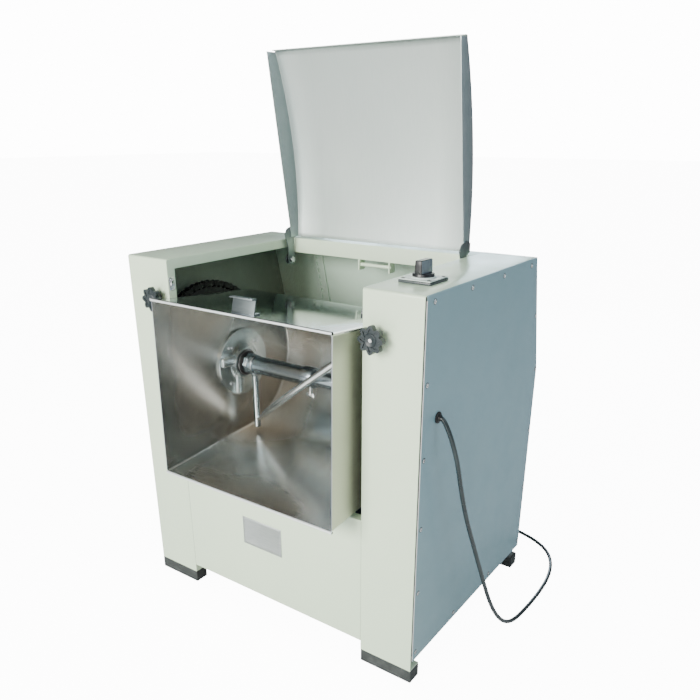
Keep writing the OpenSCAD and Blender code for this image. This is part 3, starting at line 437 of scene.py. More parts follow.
def paint(name, colour, shade, rough, **look):
    """Powder coat or enamel in a colour, clouded by a shade."""
    return material(name, "paint", {"Color": (*colour, 1), "Shade": (*shade, 1), "Roughness": rough}, **look)


def steel(name, colour, stain, amount, scale, rough, grain=1.0, **look):
    """Steel with a share of stains in another tint, and grain lines of a scale and a strength."""
    return material(name, "steel", {"Color": (*colour, 1), "Stain": (*stain, 1), "Stain Amount": amount,
                                    "Grain Scale": scale, "Grain": grain, "Roughness": rough},
                    **look)


def moulded(name, colour, dust, rough, **look):
    """Plastic or rubber in a colour, with a dusty tint."""
    return material(name, "moulded", {"Color": (*colour, 1), "Dust": (*dust, 1), "Roughness": rough}, **look)


CREAM = paint("cream_powder_coat", (0.775, 0.935, 0.705), (0.735, 0.895, 0.675), 0.36, bump=0.05, coat=0.3)
# Painted shade: the side panels take a darker, bluer copy of the cream paint, standing in for the shade on the
# cabinet's sides.
SHADED_PANEL_COAT = paint("panel_coat_painted_shade", (0.28, 0.44, 0.50), (0.262, 0.412, 0.455), 0.34, bump=0.05, coat=0.25)
# Painted highlight: near-white for a strip at each side panel's front edge, standing in for the bright edge
# line.
EDGE_HIGHLIGHT_WHITE = paint("edge_painted_highlight", (0.97, 0.98, 0.98), (0.94, 0.95, 0.95), 0.2, bump=0.01, coat=0.5)
# Painted shade: dark olive for the inner faces of the side panels, standing in for the dim inside of the
# cabinet.
INSIDE_PANEL_SHADE = paint("panel_inner_painted_shade", (0.27, 0.32, 0.26), (0.22, 0.265, 0.215), 0.5, bump=0.05)
# Painted shade: a darker, greener copy of the cream paint for the rear panel and its stiffener, standing in
# for their shade behind the bowl.
SHADED_REAR_CREAM = paint("rear_cream_painted_shade", (0.52, 0.67, 0.55), (0.48, 0.62, 0.51), 0.4, bump=0.05, coat=0.2)
PRIMER = paint("frame_primer", (0.07, 0.075, 0.072), (0.10, 0.10, 0.095), 0.6, bump=0.1)
BOWL_STEEL = steel("bowl_steel", (0.51, 0.56, 0.57), (0.67, 0.59, 0.50), 0.85, 1400.0, 0.26, grain=0.12,
                   metallic=1.0, bump=0.0, stretch=(0.02, 1, 1))
BOWL_BACK = steel("bowl_back", (0.56, 0.59, 0.66), (0.46, 0.49, 0.53), 0.4, 900.0, 0.09, grain=0.1,
                  metallic=1.0, bump=0.0, stretch=(0.02, 1, 1))
# Satin end-wall steel: the roughness is the metal's own, the yellowish tint is a painted reflection of the
# cream columns beside the walls.
BOWL_END_REFLECTION_TINT = steel("bowl_end_satin_painted_reflection", (0.58, 0.58, 0.48), (0.52, 0.52, 0.42), 0.4, 600.0, 0.5, grain=0.3,
                 metallic=0.8, bump=0.01)
LID_STEEL = steel("lid_steel", (0.61, 0.69, 0.665), (0.58, 0.63, 0.60), 0.3, 300.0, 0.42, grain=0.35,
                  metallic=0.9, bump=0.01, stretch=(1, 0.1, 0.1))
# Painted shade: a darker copy of the lid steel for the lid's side faces.
LID_CHEEK_SHADE = steel("lid_cheek_painted_shade", (0.46, 0.55, 0.57), (0.42, 0.49, 0.50), 0.3, 300.0, 0.4, grain=0.35,
                  metallic=0.9, bump=0.01, stretch=(1, 0.1, 0.1))
# Painted highlight: near-white and mostly diffuse, so the bowl's rolled hems show as bright lines.
HEM_HIGHLIGHT_STEEL = steel("hem_painted_highlight", (0.90, 0.96, 0.97), (0.84, 0.90, 0.90), 0.2, 500.0, 0.36, grain=0.2,
                  metallic=0.35, bump=0.004)
BRIGHT_STEEL = steel("bright_steel", (0.76, 0.78, 0.79), (0.60, 0.61, 0.61), 0.3, 500.0, 0.17, grain=0.2,
                     metallic=1.0, bump=0.003)
BAR_STEEL = steel("kneading_bar_steel", (0.86, 0.89, 0.89), (0.70, 0.72, 0.72), 0.3, 500.0, 0.22, grain=0.2,
                  metallic=1.0, bump=0.003)
BRACKET_STEEL = steel("bracket_steel", (0.24, 0.28, 0.29), (0.18, 0.21, 0.215), 0.4, 400.0, 0.36, grain=0.2,
                      metallic=1.0, bump=0.01, stretch=(0.1, 1, 1))
TURNED_STEEL = steel("turned_steel", (0.46, 0.53, 0.57), (0.33, 0.38, 0.40), 0.3, 700.0, 0.18, grain=0.15,
                     metallic=1.0, bump=0.003, stretch=(1, 0.2, 0.2))
CAST_STEEL = steel("cast_flange", (0.76, 0.84, 0.84), (0.60, 0.64, 0.63), 0.4, 160.0, 0.2, grain=0.25,
                   metallic=1.0, bump=0.006)
CHAIN_STEEL = steel("oiled_chain", (0.012, 0.013, 0.012), (0.006, 0.006, 0.006), 0.6, 400.0, 0.5,
                    grain=0.03, metallic=0.2, bump=0.02)
HOUSING = paint("bearing_enamel", (0.06, 0.13, 0.15), (0.04, 0.09, 0.10), 0.42, bump=0.2)
MOTOR = paint("motor_enamel", (0.09, 0.14, 0.17), (0.06, 0.10, 0.12), 0.42, bump=0.15)
FOOT_RUBBER = moulded("foot_rubber", (0.035, 0.042, 0.042), (0.10, 0.11, 0.11), 0.62, bump=0.12)
SEAL_RUBBER = moulded("seal_rubber", (0.012, 0.012, 0.012), (0.03, 0.03, 0.03), 0.45, bump=0.06)
KNOB_PLASTIC = moulded("knob_plastic", (0.022, 0.032, 0.036), (0.05, 0.063, 0.068), 0.3, bump=0.05)
SWITCH_BLACK = moulded("switch_black", (0.012, 0.012, 0.014), (0.03, 0.03, 0.034), 0.34, bump=0.05)
HANDLE_BLACK = moulded("handle_black", (0.008, 0.009, 0.012), (0.02, 0.022, 0.026), 0.4, bump=0.02,
                       coat=0.3)
SWITCH_EDGE = moulded("switch_edge", (0.05, 0.065, 0.07), (0.09, 0.105, 0.11), 0.3, bump=0.04)
# Painted light: a lighter, bluish copy of the handle's black for the fin's right-hand faces.
HANDLE_LIT_SIDE = moulded("handle_painted_light_side", (0.17, 0.21, 0.25), (0.21, 0.25, 0.29), 0.3, bump=0.02, coat=0.3)
SWITCH_GREY = moulded("switch_grey", (0.70, 0.80, 0.76), (0.74, 0.83, 0.79), 0.34, bump=0.04)
PLATE = steel("plate_aluminium", (0.52, 0.57, 0.58), (0.43, 0.46, 0.46), 0.3, 700.0, 0.38, metallic=0.9,
              bump=0.06, stretch=(0.1, 1, 1))
CORD_PVC = moulded("cord_pvc", (0.016, 0.027, 0.030), (0.04, 0.056, 0.06), 0.3, bump=0.02, coat=0.4)


# ------------------------------------------------------------------ cabinet
WIDE, HIGH = 700, 723
DEEP_TOP, DEEP_LOW, KINK = 449, 510, 476
COLUMN = 117
PANEL_LOW, PANEL_SETBACK = 24, 4.4
SHAFT_Y, SHAFT_Z = 175, 475


def make_cabinet():
    set_on_softened([
        ("left_column", "cabinet", 1.9, CREAM, "cream_paint"),
        ("right_column", "cabinet", 1.9, CREAM, "cream_paint"),
        ("front_panel", "cabinet", 1.4, CREAM, "cream_paint"),
        # The rear panel and its stiffener take the painted-shade copy of the cream.
        ("rear_panel", "cabinet", 1.0, SHADED_REAR_CREAM, "panel_paint"),
        ("rear_crossbeam", "cabinet", 1.6, CREAM, "cream_paint"),
        ("rear_stiffener", "cabinet", 0.4, SHADED_REAR_CREAM, "panel_paint")], 4)
    for side, outer, inward in (("left", 0, 1), ("right", WIDE, -1)):
        node = side + "_side_panel"
        panel = softened(node, 0)
        edit(panel)
        select_faces(panel, lambda centre, normal: normal.y < -0.9)
        bpy.ops.transform.translate(value=(0, PANEL_SETBACK * MM, 0))
        done()
        bevel(panel, 0.7, 3)
        # The side panels get the painted-shade copy of the cream.
        set_on(smooth(panel, 40), "cabinet", SHADED_PANEL_COAT, "panel_paint")
        # Inward-facing faces of each side panel get the dark painted shade.
        finish_faces(panel, INSIDE_PANEL_SHADE, lambda centre, normal: normal.x * inward > 0.9)
        # A black strip in the groove between column and side panel: a painted shadow of the gap.
        low, high = sorted((outer + inward * 1.1, outer + inward * 2))
        gap_shadow = block(side + "_panel_gap_shadow", (low, 1.6, PANEL_LOW), (high, 3.4, HIGH - 1.5))
        set_on(gap_shadow, "cabinet", SEAL_RUBBER, "black_rubber", node)
        # A near-white strip in the groove at the panel's front edge: a painted highlight.
        low, high = sorted((outer + inward * 0.05, outer + inward * 1.8))
        fold = block(side + "_panel_edge_highlight", (low, 3.2, PANEL_LOW), (high, 4.8, HIGH - 8))
        bevel(fold, 0.5, 3)
        set_on(smooth(fold, 40), "cabinet", EDGE_HIGHLIGHT_WHITE, "cream_paint", node)
    set_on(softened("name_plate", 0.35, 2), "cabinet", PLATE, "plate_aluminium")
    below, above = [corner[2] / MM - FOOT_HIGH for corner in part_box("front_panel")]
    seams = [block("seam", (x - 1, 0.5, below + 2), (x + 1, 2.6, above - 2)) for x in (COLUMN, WIDE - COLUMN)]
    set_on(joined("front_panel_seams", *seams), "cabinet", SEAL_RUBBER, "black_rubber", "front_panel")


def screw_head(name, radius, height):
    """A pan head screw with a cross recess, lying on x = 0 and standing towards -x."""
    head = turned(name, "x", ORIGIN, [(0, 0.01), (0, radius), (-0.35 * height, radius),
                                      (-0.8 * height, radius * 0.78), (-height, radius * 0.45),
                                      (-height, 0.01)], 20)
    slots = [block(name + "_slot", ORIGIN + Vector((-3 * height, -wide, -tall)),
                   ORIGIN + Vector((-0.55 * height, wide, tall)))
             for wide, tall in ((radius * 0.2, radius * 0.62), (radius * 0.62, radius * 0.2))]
    return smooth(cut(head, *slots), 30)


def panel_screw_places():
    """Screw places on a side panel as (depth, height)."""
    top, rear = HIGH - 13, DEEP_LOW - 8
    places = [(28 + 131 * k, top) for k in range(4)] + [(14, top - 134 * k) for k in range(1, 6)]
    places += [((DEEP_TOP + DEEP_LOW) / 2 - 8, (HIGH + KINK) / 2)]
    places += [(rear, KINK - 145.33 * k) for k in range(4)]
    return places + [(170, 34), (340, 34)]


def make_panel_screws():
    model = screw_head("screw_model", 4.2, 1.6)
    heads = []
    for number, (y, z) in enumerate(panel_screw_places()):
        for side, x in (("left", 0), ("right", WIDE)):
            heads.append(copied(model, "head_%s_%d" % (side, number), Vector((x, y, z)) - ORIGIN,
                                flip_x=side == "right"))
    bpy.data.objects.remove(model)
    screws = joined("side_screw_heads", *heads)
    set_on(screws, "cabinet", BRIGHT_STEEL, "polished_steel", "side_panel_screws")
    # A thin black disc under each screw head, a little wider than the head, gives it a dark outline.
    dark_rings = [rod("dark_ring", "x", (x, y, z), 0.3, 5, sides=28) for y, z in panel_screw_places()
               for x in (-0.3, WIDE)]
    set_on(smooth(joined("side_screw_dark_rings", *dark_rings), 30), "cabinet", SEAL_RUBBER, "black_rubber",
           "side_panel_screws")


def make_feet():
    """Rubber feet, hollow below."""
    right, rear = WIDE - COLUMN, DEEP_LOW - FOOT_DEEP
    for node, x0, y0 in (("front_left_foot", 1, 0), ("front_right_foot", right, 0),
                         ("rear_left_foot", 1, rear), ("rear_right_foot", right, rear)):
        foot = block(node + "_moulding", (x0, y0, -FOOT_HIGH), (x0 + COLUMN - 1, y0 + FOOT_DEEP, 0))
        edit(foot)
        select_faces(foot, lambda centre, normal: normal.z < -0.9)
        bpy.ops.mesh.inset(thickness=5 * MM)
        bpy.ops.mesh.extrude_region_move(TRANSFORM_OT_translate={"value": (0, 0, 8 * MM)})
        done()
        bevel(foot, 1.8, 3)
        set_on(smooth(foot), "cabinet", FOOT_RUBBER, "foot_rubber", node)


# ------------------------------------------------------------------ bowl
BOWL_R, BOWL_T, BOWL_FILLET = 162, 1.5, 6
BOWL_X0, BOWL_X1 = 134, 566
FRONT_RIM, REAR_RIM = (-181, 242), (182, 235)


def tangent(point, radius, side):
    """Where the straight wall from a rim point meets the round bottom."""
    far = math.hypot(*point)
    angle = math.atan2(point[1], point[0]) + side * math.acos(radius / far)
    return radius * math.cos(angle), radius * math.sin(angle)


def bowl_section(radius, grow, steps=72):
    """The bowl's open outline as (behind, above) the shaft with the bowl upright, front rim to rear rim."""
    front = (FRONT_RIM[0] + grow, FRONT_RIM[1])
    rear = (REAR_RIM[0] - grow, REAR_RIM[1])
    a, b = tangent(front, radius, 1), tangent(rear, radius, -1)
    start, end = math.atan2(a[1], a[0]), math.atan2(b[1], b[0]) + 2 * math.pi
    start = start % (2 * math.pi)
    arc = [(radius * math.cos(start + (end - start) * k / steps),
            radius * math.sin(start + (end - start) * k / steps)) for k in range(steps + 1)]
    wall = [(front[0] + (a[0] - front[0]) * k / 6, front[1] + (a[1] - front[1]) * k / 6) for k in range(6)]
    back = [(b[0] + (rear[0] - b[0]) * k / 6, b[1] + (rear[1] - b[1]) * k / 6) for k in range(1, 7)]
    return wall + arc + back


def tipped(x, v, u):
    """A point of the bowl, given upright, in its tipped place."""
    return spot(x, SHAFT_Y - u, SHAFT_Z + v)


def make_bowl():
    """One curved sheet between two end walls, welded, with a rolled hem around the mouth."""
    shell, mesh = blank("bowl_sheet")
    middle = BOWL_T / 2
    section = bowl_section(BOWL_R - middle, middle)
    x0, x1 = BOWL_X0 + middle, BOWL_X1 - middle
    rows = []
    columns = [(x0, BOWL_FILLET)]
    columns += [(x0 + along, inward) for along, inward in rounded(BOWL_FILLET, 22.5, 45, 67.5, 90)]
    columns += [(x0 + (x1 - x0) * k / 8, 0) for k in range(1, 8)]
    columns += [(x1 - (x - x0), inward) for x, inward in reversed(columns[:5])]
    for x, inward in columns:
        row = []
        for v, u in section:
            pull = Vector((-v, -u if u < 0 else -u * max(0, 1 - u / 120))).normalized()
            row.append(mesh.verts.new(tipped(x, v + pull.x * inward, u + pull.y * inward)))
        rows.append(row)
    for a, b in zip(rows, rows[1:]):
        for k in range(len(section) - 1):
            mesh.faces.new((a[k], b[k], b[k + 1], a[k + 1]))
    for row in (rows[0], rows[-1]):
        mesh.faces.new(row)
    fill(shell, mesh)
    face_out(shell)
    modify(shell, "SOLIDIFY", thickness=BOWL_T * MM, offset=0, use_even_offset=True)
    cut(shell, rod("hub_bore", "x", (BOWL_X0 - 10, SHAFT_Y, SHAFT_Z), BOWL_X1 - BOWL_X0 + 20, 26.3, sides=64))
    smooth(shell, 30)
    set_on(shell, "bowl", BOWL_STEEL, "brushed_stainless", "bowl_shell")
    centre = spot(MIDDLE_X, SHAFT_Y, SHAFT_Z)
    end_wall = spot(BOWL_X1 - 0.5, 0, 0).x

    def outside(point, normal):
        return abs(normal.x) < 0.5 and normal.dot(point - centre) > 0

    finish_faces(shell, BOWL_BACK, outside)
    # The outer end walls get the satin steel with a painted reflection of the cream columns.
    finish_faces(shell, BOWL_END_REFLECTION_TINT, lambda point, normal: abs(normal.x) > 0.9 and abs(point.x) > end_wall)
    # Along each rim, a near-white tube is a painted highlight of the rolled hem, and a black tube just behind
    # it is a painted shadow of the hem's gap.
    for kind, lift, low_r, high_r, finish, slot in (
            ("bowl_hem", 0.3, 2.6, 2.4, HEM_HIGHLIGHT_STEEL, "polished_steel"),
            ("bowl_hem_painted_shadow", -0.7, 2.2, 2.9, SEAL_RUBBER, "black_rubber")):
        hems = [tube_along(kind + name, [tipped(BOWL_X0 + 0.4, rim[0], rim[1] + lift),
                                         tipped(BOWL_X1 - 0.4, rim[0], rim[1] + lift)], radius, sides=6)
                for name, rim, radius in (("_low", FRONT_RIM, low_r), ("_high", REAR_RIM, high_r))]
        set_on(joined(kind, *hems), "bowl", finish, slot, "bowl_shell")


def tube_along(name, points, radius, sides=4):
    """A round bar along a list of points, made as a curve and turned into a mesh."""
    curve = bpy.data.curves.new(name, "CURVE")
    curve.dimensions = "3D"
    curve.bevel_depth = radius * MM
    curve.bevel_resolution = sides
    curve.use_fill_caps = True
    line = curve.splines.new("POLY")
    line.points.add(len(points) - 1)
    for k, point in enumerate(points):
        line.points[k].co = (*point, 1)
    obj = bpy.data.objects.new(name, curve)
    bpy.context.scene.collection.objects.link(obj)
    only(obj)
    bpy.ops.object.convert(target="MESH")
    return smooth(bpy.context.object, 50)


# ------------------------------------------------------------------ lid
LID_X0, LID_X1 = 126, 574
ARCH_Y, ARCH_Z, ARCH_R = -499, 784, 900
LID_LOW, LID_HIGH = 727, 1112
LID_FLANGE, LID_LIP, LID_T, LID_FOLD = 26, 10, 1.5, 3


def arch_y(height, depth):
    """Depth of the lid's arch at a height, set in from the outer face."""
    r = ARCH_R - depth
    return ARCH_Y + math.sqrt(r * r - (height - ARCH_Z) ** 2)


def make_lid():
    """An arched sheet with straight-edged folded cheeks and a narrow lip along the top."""
    lid, mesh = blank("lid_sheet_folded")
    half = LID_T / 2
    across = [(LID_X0 + half, None)]
    across += [(LID_X0 + half + x, half + depth) for x, depth in rounded(LID_FOLD, 0, 30, 60, 90)]
    across += [(LID_X0 + (LID_X1 - LID_X0) * k / 6, half) for k in range(1, 6)]
    across += [(LID_X0 + LID_X1 - x, depth) for x, depth in reversed(across[:5])]
    foot, top = arch_y(LID_LOW, LID_FLANGE), arch_y(LID_HIGH, LID_FLANGE)
    levels = [LID_LOW + (LID_HIGH - half - LID_FOLD - LID_LOW) * k / 40 for k in range(41)]
    rows = []
    for height in levels:
        edge = foot + (top - foot) * (height - LID_LOW) / (LID_HIGH - LID_LOW)
        rows.append([mesh.verts.new(spot(x, edge if depth is None else arch_y(height, depth), height))
                     for x, depth in across])
    inner = across[1:-1]
    for a, b in zip(rows, rows[1:]):
        for k in range(len(across) - 1):
            mesh.faces.new((a[k], a[k + 1], b[k + 1], b[k]))
    last = rows[-1][1:-1]
    for depth, drop in rounded(LID_FOLD, 30, 60, 90) + [(LID_LIP - half, 0)]:
        height = LID_HIGH - half - drop
        row = [mesh.verts.new(spot(x, arch_y(LID_HIGH - half, half + depth), height)) for x, _ in inner]
        for k in range(len(row) - 1):
            mesh.faces.new((last[k], last[k + 1], row[k + 1], row[k]))
        last = row
    fill(lid, mesh)
    modify(lid, "SOLIDIFY", thickness=LID_T * MM, offset=0, use_even_offset=True)
    bevel(lid, 0.3, 2, 50)
    smooth(lid, 35)
    set_on(lid, "lid", LID_STEEL, "satin_stainless", "lid_sheet")
    # The lid sheet's side faces get the darker painted-shade copy of its steel.
    finish_faces(lid, LID_CHEEK_SHADE, lambda centre, normal: abs(normal.x) > 0.9)


# ------------------------------------------------------------------ knobs and switch
KNOB_X, KNOB_Z, KNOB_FRONT = 87, 645, -24
KNOB_THICK, KNOB_R = 10, 24.4


def star_outline(x, z, radius, lobes, steps=14):
    """Points of a scalloped star: round lobes joined by hollow curves."""
    points = []
    for k in range(lobes * steps):
        angle = 2 * math.pi * k / (lobes * steps)
        wave = 0.5 + 0.5 * math.cos(lobes * angle)
        r = radius * (0.74 + 0.26 * wave ** 0.6)
        points.append((x + r * math.cos(angle), z + r * math.sin(angle)))
    return points


def make_knob(name, x, body):
    """An eight-lobed star on a short neck, with a metal stud end in its middle."""
    z, front, thick = KNOB_Z, KNOB_FRONT, KNOB_THICK
    knob, mesh = blank(name)
    mesh.faces.new([mesh.verts.new(spot(px, front, pz)) for px, pz in star_outline(x, z, KNOB_R, 8)])
    fill(knob, mesh)
    edit(knob)
    bpy.ops.mesh.select_all(action="SELECT")
    bpy.ops.mesh.extrude_region_move(TRANSFORM_OT_translate={"value": (0, thick * MM, 0)})
    done()
    face_out(knob)
    edit(knob)
    select_faces(knob, lambda centre, normal: normal.y < -0.9)
    bpy.ops.mesh.inset(thickness=4.5 * MM)
    bpy.ops.mesh.extrude_region_move(TRANSFORM_OT_translate={"value": (0, 1.6 * MM, 0)})
    done()
    bevel(knob, 3.2, 4, 50)
    smooth(knob, 45)
    hub = turned(name + "_hub", "y", (x, front, z),
                 [(thick - 1, 0.01), (thick - 1, 11), (20.4, 11), (21, 10.4), (21, 5), (63, 5), (63, 0.01)],
                 40)
    cap = turned(name + "_cap", "y", (x, front + 1.5, z),
                 [(0.6, 0.01), (-0.2, 6), (-1.3, 10), (-0.6, 11.4), (0.6, 12), (0.8, 0.02)], 40)
    set_on(joined(name, knob, hub, cap), body, KNOB_PLASTIC, "knob_plastic", body)
    stud = turned(name + "_stud_end", "y", (x, front + 0.9, z),
                  [(0.8, 0.01), (0.8, 3.6), (-0.4, 3.6), (-0.9, 3.0), (-0.9, 0.01)], 24)
    set_on(stud, body, BRIGHT_STEEL, "polished_steel", body)


SWITCH_X, SWITCH_Y = 637, 100
SWITCH_BASE, SWITCH_COVER, SWITCH_SCREWS = 31, 30, 24.5


def switch_block(name, half, half_y, low, high):
    """A block around the switch's axis, between two heights above the column."""
    return block(name, (SWITCH_X - half, SWITCH_Y - half_y, HIGH + low),
                 (SWITCH_X + half, SWITCH_Y + half_y, HIGH + high))


def make_switch():
    """Square rotary switch: dark base, grey cover plate and a black fin handle."""
    base = switch_block("switch_base", SWITCH_BASE, SWITCH_BASE, 0, 5.2)
    bevel(base, 1.6, 3)
    set_on(smooth(base), "cabinet", SWITCH_EDGE, "switch_black", "switch_plate")
    cover = switch_block("switch_cover", SWITCH_COVER, SWITCH_COVER, 5.2, 7)
    bevel(cover, 0.8, 2)
    ring = turned("switch_ring", "z", (SWITCH_X, SWITCH_Y, HIGH + 7),
                  [(-0.5, 0.01), (-0.5, 21), (1.6, 21), (2, 20.4), (2, 5.1), (-0.5, 5.0)], 56)
    set_on(joined("switch_cover", cover, ring), "cabinet", SWITCH_GREY, "switch_grey", "switch_plate")
    for corner, (sx, sy) in enumerate(((-1, -1), (1, -1), (1, 1), (-1, 1))):
        at = (SWITCH_X + sx * SWITCH_SCREWS, SWITCH_Y + sy * SWITCH_SCREWS, HIGH + 7)
        screw = turned("switch_corner_%d" % corner, "z", at,
                       [(-0.4, 0.01), (-0.4, 3.4), (0.5, 3.4), (0.9, 2.6), (0.9, 0.01)], 18)
        set_on(screw, "cabinet", SWITCH_BLACK, "switch_black", "switch_plate")
    low = 9.3
    collar = turned("handle_collar", "z", (SWITCH_X, SWITCH_Y, HIGH + low),
                    [(0, 0.01), (0, 18.6), (0.5, 19), (4.4, 18.4), (5, 17.6), (5, 0.01)], 56)
    fin = switch_block("handle_fin", 7.5, 19, low + 4.5, low + 27)
    edit(fin)
    select_faces(fin, lambda centre, normal: normal.z > 0.9)
    bpy.ops.transform.resize(value=(0.86, 0.97, 1), center_override=spot(SWITCH_X, SWITCH_Y, HIGH + low + 27))
    done()
    bevel(fin, 1.8, 3)
    stem = rod("handle_stem", "z", (SWITCH_X, SWITCH_Y, HIGH - 29), 40, 4.9)
    handle = smooth(joined("switch_handle_fin", fin, collar, stem), 35)
    set_on(handle, "switch_handle", HANDLE_BLACK, "switch_black", "switch_handle")
    fin_foot = spot(0, 0, HIGH + low + 5).z
    # The fin's right-facing faces get the lighter painted-light copy of the black.
    finish_faces(handle, HANDLE_LIT_SIDE, lambda centre, normal: normal.x > 0.8 and centre.z > fin_foot)


# ------------------------------------------------------------------ kneading tool
ARM_OUT, ARM_REACH, BAR_BOW = 176.5, 135, 42


def bar_point(t):
    """A point on the kneading bar's bowed centre line, from the left arm at 0 to the right arm at 1."""
    return spot(MIDDLE_X + ARM_OUT * (2 * t - 1), SHAFT_Y - BAR_BOW * math.sin(math.pi * t),
                SHAFT_Z + ARM_REACH * (2 * t - 1))


def make_hub(name, side):
    """Eight-sided nut, round collar and round arm with a flared root; side is -1 on the left."""
    at = MIDDLE_X + side * (ARM_OUT + 18)
    low, high = sorted((at, at - side * 12.5))
    nut = rod(name + "_nut", "x", (low, SHAFT_Y, SHAFT_Z), high - low, 23.9, sides=8)
    bevel(nut, 0.9, 3, 30)
    low, high = sorted((at - side * 12.5, at - side * 26))
    ring = rod(name + "_ring", "x", (low, SHAFT_Y, SHAFT_Z), high - low, 21.5)
    bevel(ring, 0.9, 2, 50)
    arm = turned(name + "_arm", "z", (MIDDLE_X + side * ARM_OUT, SHAFT_Y, SHAFT_Z),
                 [(side * k, r) for k, r in ((14, 0.01), (14, 12), (21, 11.2), (25, 8.2), (28, 7), (148.4, 7),
                                             (149.6, 6.2), (150, 5), (150, 0.01))], 40)
    face_out(arm)
    set_on(smooth(joined(name, nut, ring, arm), 28), "agitator", TURNED_STEEL, "turned_steel", name)


def make_flanges():
    """Cast seal flanges with rounded ribs, their socket screws and the black seal rings."""
    flanges, screws, seals, rings = [], [], [], []
    for side in (-1, 1):
        def at(x):
            return MIDDLE_X + side * (MIDDLE_X - x)

        def piece(kind, profile, y=SHAFT_Y, z=SHAFT_Z, x=135.5, sides=72):
            return turned("%s_%d" % (kind, side), "x", (at(x), y, z),
                          [(-side * a, r) for a, r in profile], sides)
        disc = piece("disc", [(0, 17), (0, 75.4), (0.8, 76), (4.4, 76), (5.8, 74.6), (6.2, 60), (7.4, 46),
                              (11, 38), (13.4, 35.5), (14, 34), (14, 17), (0, 17)], sides=96)
        flanges.append(disc)
        for y0, y1, z0, z1 in ((104.5, 160, SHAFT_Z + 1, SHAFT_Z + 24), (144, 170, 404.5, 455)):
            rib = block("rib", (min(at(136), at(148.2)), y0, z0), (max(at(136), at(148.2)), y1, z1))
            bevel(rib, 5.6, 5, 35)
            flanges.append(rib)
        for a in (45, 135, 225, 315):
            screws.append(piece(
                "socket_%d" % a, [(0, 0.01), (0, 6), (2.1, 6), (2.6, 5.4), (2.6, 3.3), (1, 3.1), (1, 0.01)],
                SHAFT_Y + 58 * math.cos(math.radians(a)), SHAFT_Z + 58 * math.sin(math.radians(a)), 141.6, 24))
        seals.append(piece("lip", [
            (0, 17), (0, 29), (0.5, 29.8), (1.4, 29.8), (2, 29), (2, 27.6), (3.2, 27.2), (4.4, 26.8),
            (5.2, 26), (5.4, 25), (5.4, 17), (0, 17)], x=149.8))
        rings.append(piece("ring", [
            (0, 26.6), (0, 28.4), (0.5, 28.6), (0.9, 28.2), (0.9, 26.8), (0.5, 26.4), (0, 26.6)], x=151.9))
    for name, pieces, body, finish, slot, node in (
            ("seal_flange_castings", flanges, "bowl", CAST_STEEL, "satin_stainless", "seal_flanges"),
            ("flange_socket_screws", screws, "bowl", BRIGHT_STEEL, "polished_steel", "flange_screws"),
            ("shaft_seal_lips", seals, "agitator", SEAL_RUBBER, "black_rubber", "shaft_seals"),
            ("shaft_seal_rings", rings, "agitator", BRIGHT_STEEL, "polished_steel", "shaft_seals")):
        set_on(smooth(joined(name, *pieces), 35), body, finish, slot, node)


def make_tool():
    set_on_softened([
        ("agitator_shaft", "agitator", 0.8, TURNED_STEEL, "turned_steel"),
        ("shaft_sleeve", "agitator", 0.6, TURNED_STEEL, "turned_steel"),
        ("set_screw", "agitator", 0.6, BRIGHT_STEEL, "polished_steel")], 3, 40)
    make_hub("left_arm", -1)
    make_hub("right_arm", 1)
    make_flanges()
    bar = [tube_along("bar_" + name, [bar_point(low + (high - low) * k / steps) for k in range(steps + 1)],
                      r, sides=6)
           for name, low, high, r, steps in (("tube", 0.1, 0.9, 7.5, 40), ("left_end", 0.004, 0.12, 4.5, 6),
                                             ("right_end", 0.88, 0.996, 4.5, 6))]
    for piece in bar:
        bevel(piece, 0.8, 2, 50)
    set_on(smooth(joined("kneading_bar_round", *bar), 40), "agitator", BAR_STEEL, "polished_steel",
           "kneading_bar")
    set_on_softened([
        ("bowl_trunnions", "bowl", 0.6, TURNED_STEEL, "turned_steel"),
        ("bowl_hook", "bowl", 0.6, BRACKET_STEEL, "brushed_stainless")], 3)


def make_fittings():
    set_on_softened([
        ("hinge_plates", "lid", 0.5, BRACKET_STEEL, "satin_stainless"),
        ("hinge_lugs", "cabinet", 0.6, BRACKET_STEEL, "satin_stainless"),
        ("hinge_pins", "cabinet", 0.6, BRIGHT_STEEL, "polished_steel"),
        ("bowl_catch", "cabinet", 0.5, CREAM, "cream_paint"),
        ("catch_rod", "cabinet", 0.5, CREAM, "polished_steel"),
        ("lid_catches", "cabinet", 0.4, BRIGHT_STEEL, "satin_stainless"),
        ("knob_bushes", "cabinet", 0.5, TURNED_STEEL, "turned_steel")], 3)
    gland = turned("cord_grommet", "x", (WIDE, 56, 507),
                   [(-6, 4.3), (-6, 5.4), (0.2, 5.4), (0.2, 9.6), (0.9, 10.4), (2.2, 10.4), (3.2, 9.2),
                    (3.6, 6.4), (5.6, 5.9), (7, 5.3), (7.3, 4.5), (-6, 4.3)], 40)
    set_on(gland, "cabinet", SEAL_RUBBER, "black_rubber", "cable_gland")


# ------------------------------------------------------------------ drive
CHAIN_X, CHAIN_LINKS = 36, 80
BIG, SMALL = (SHAFT_Y, SHAFT_Z, 164.29), (290, 215, 38.18)


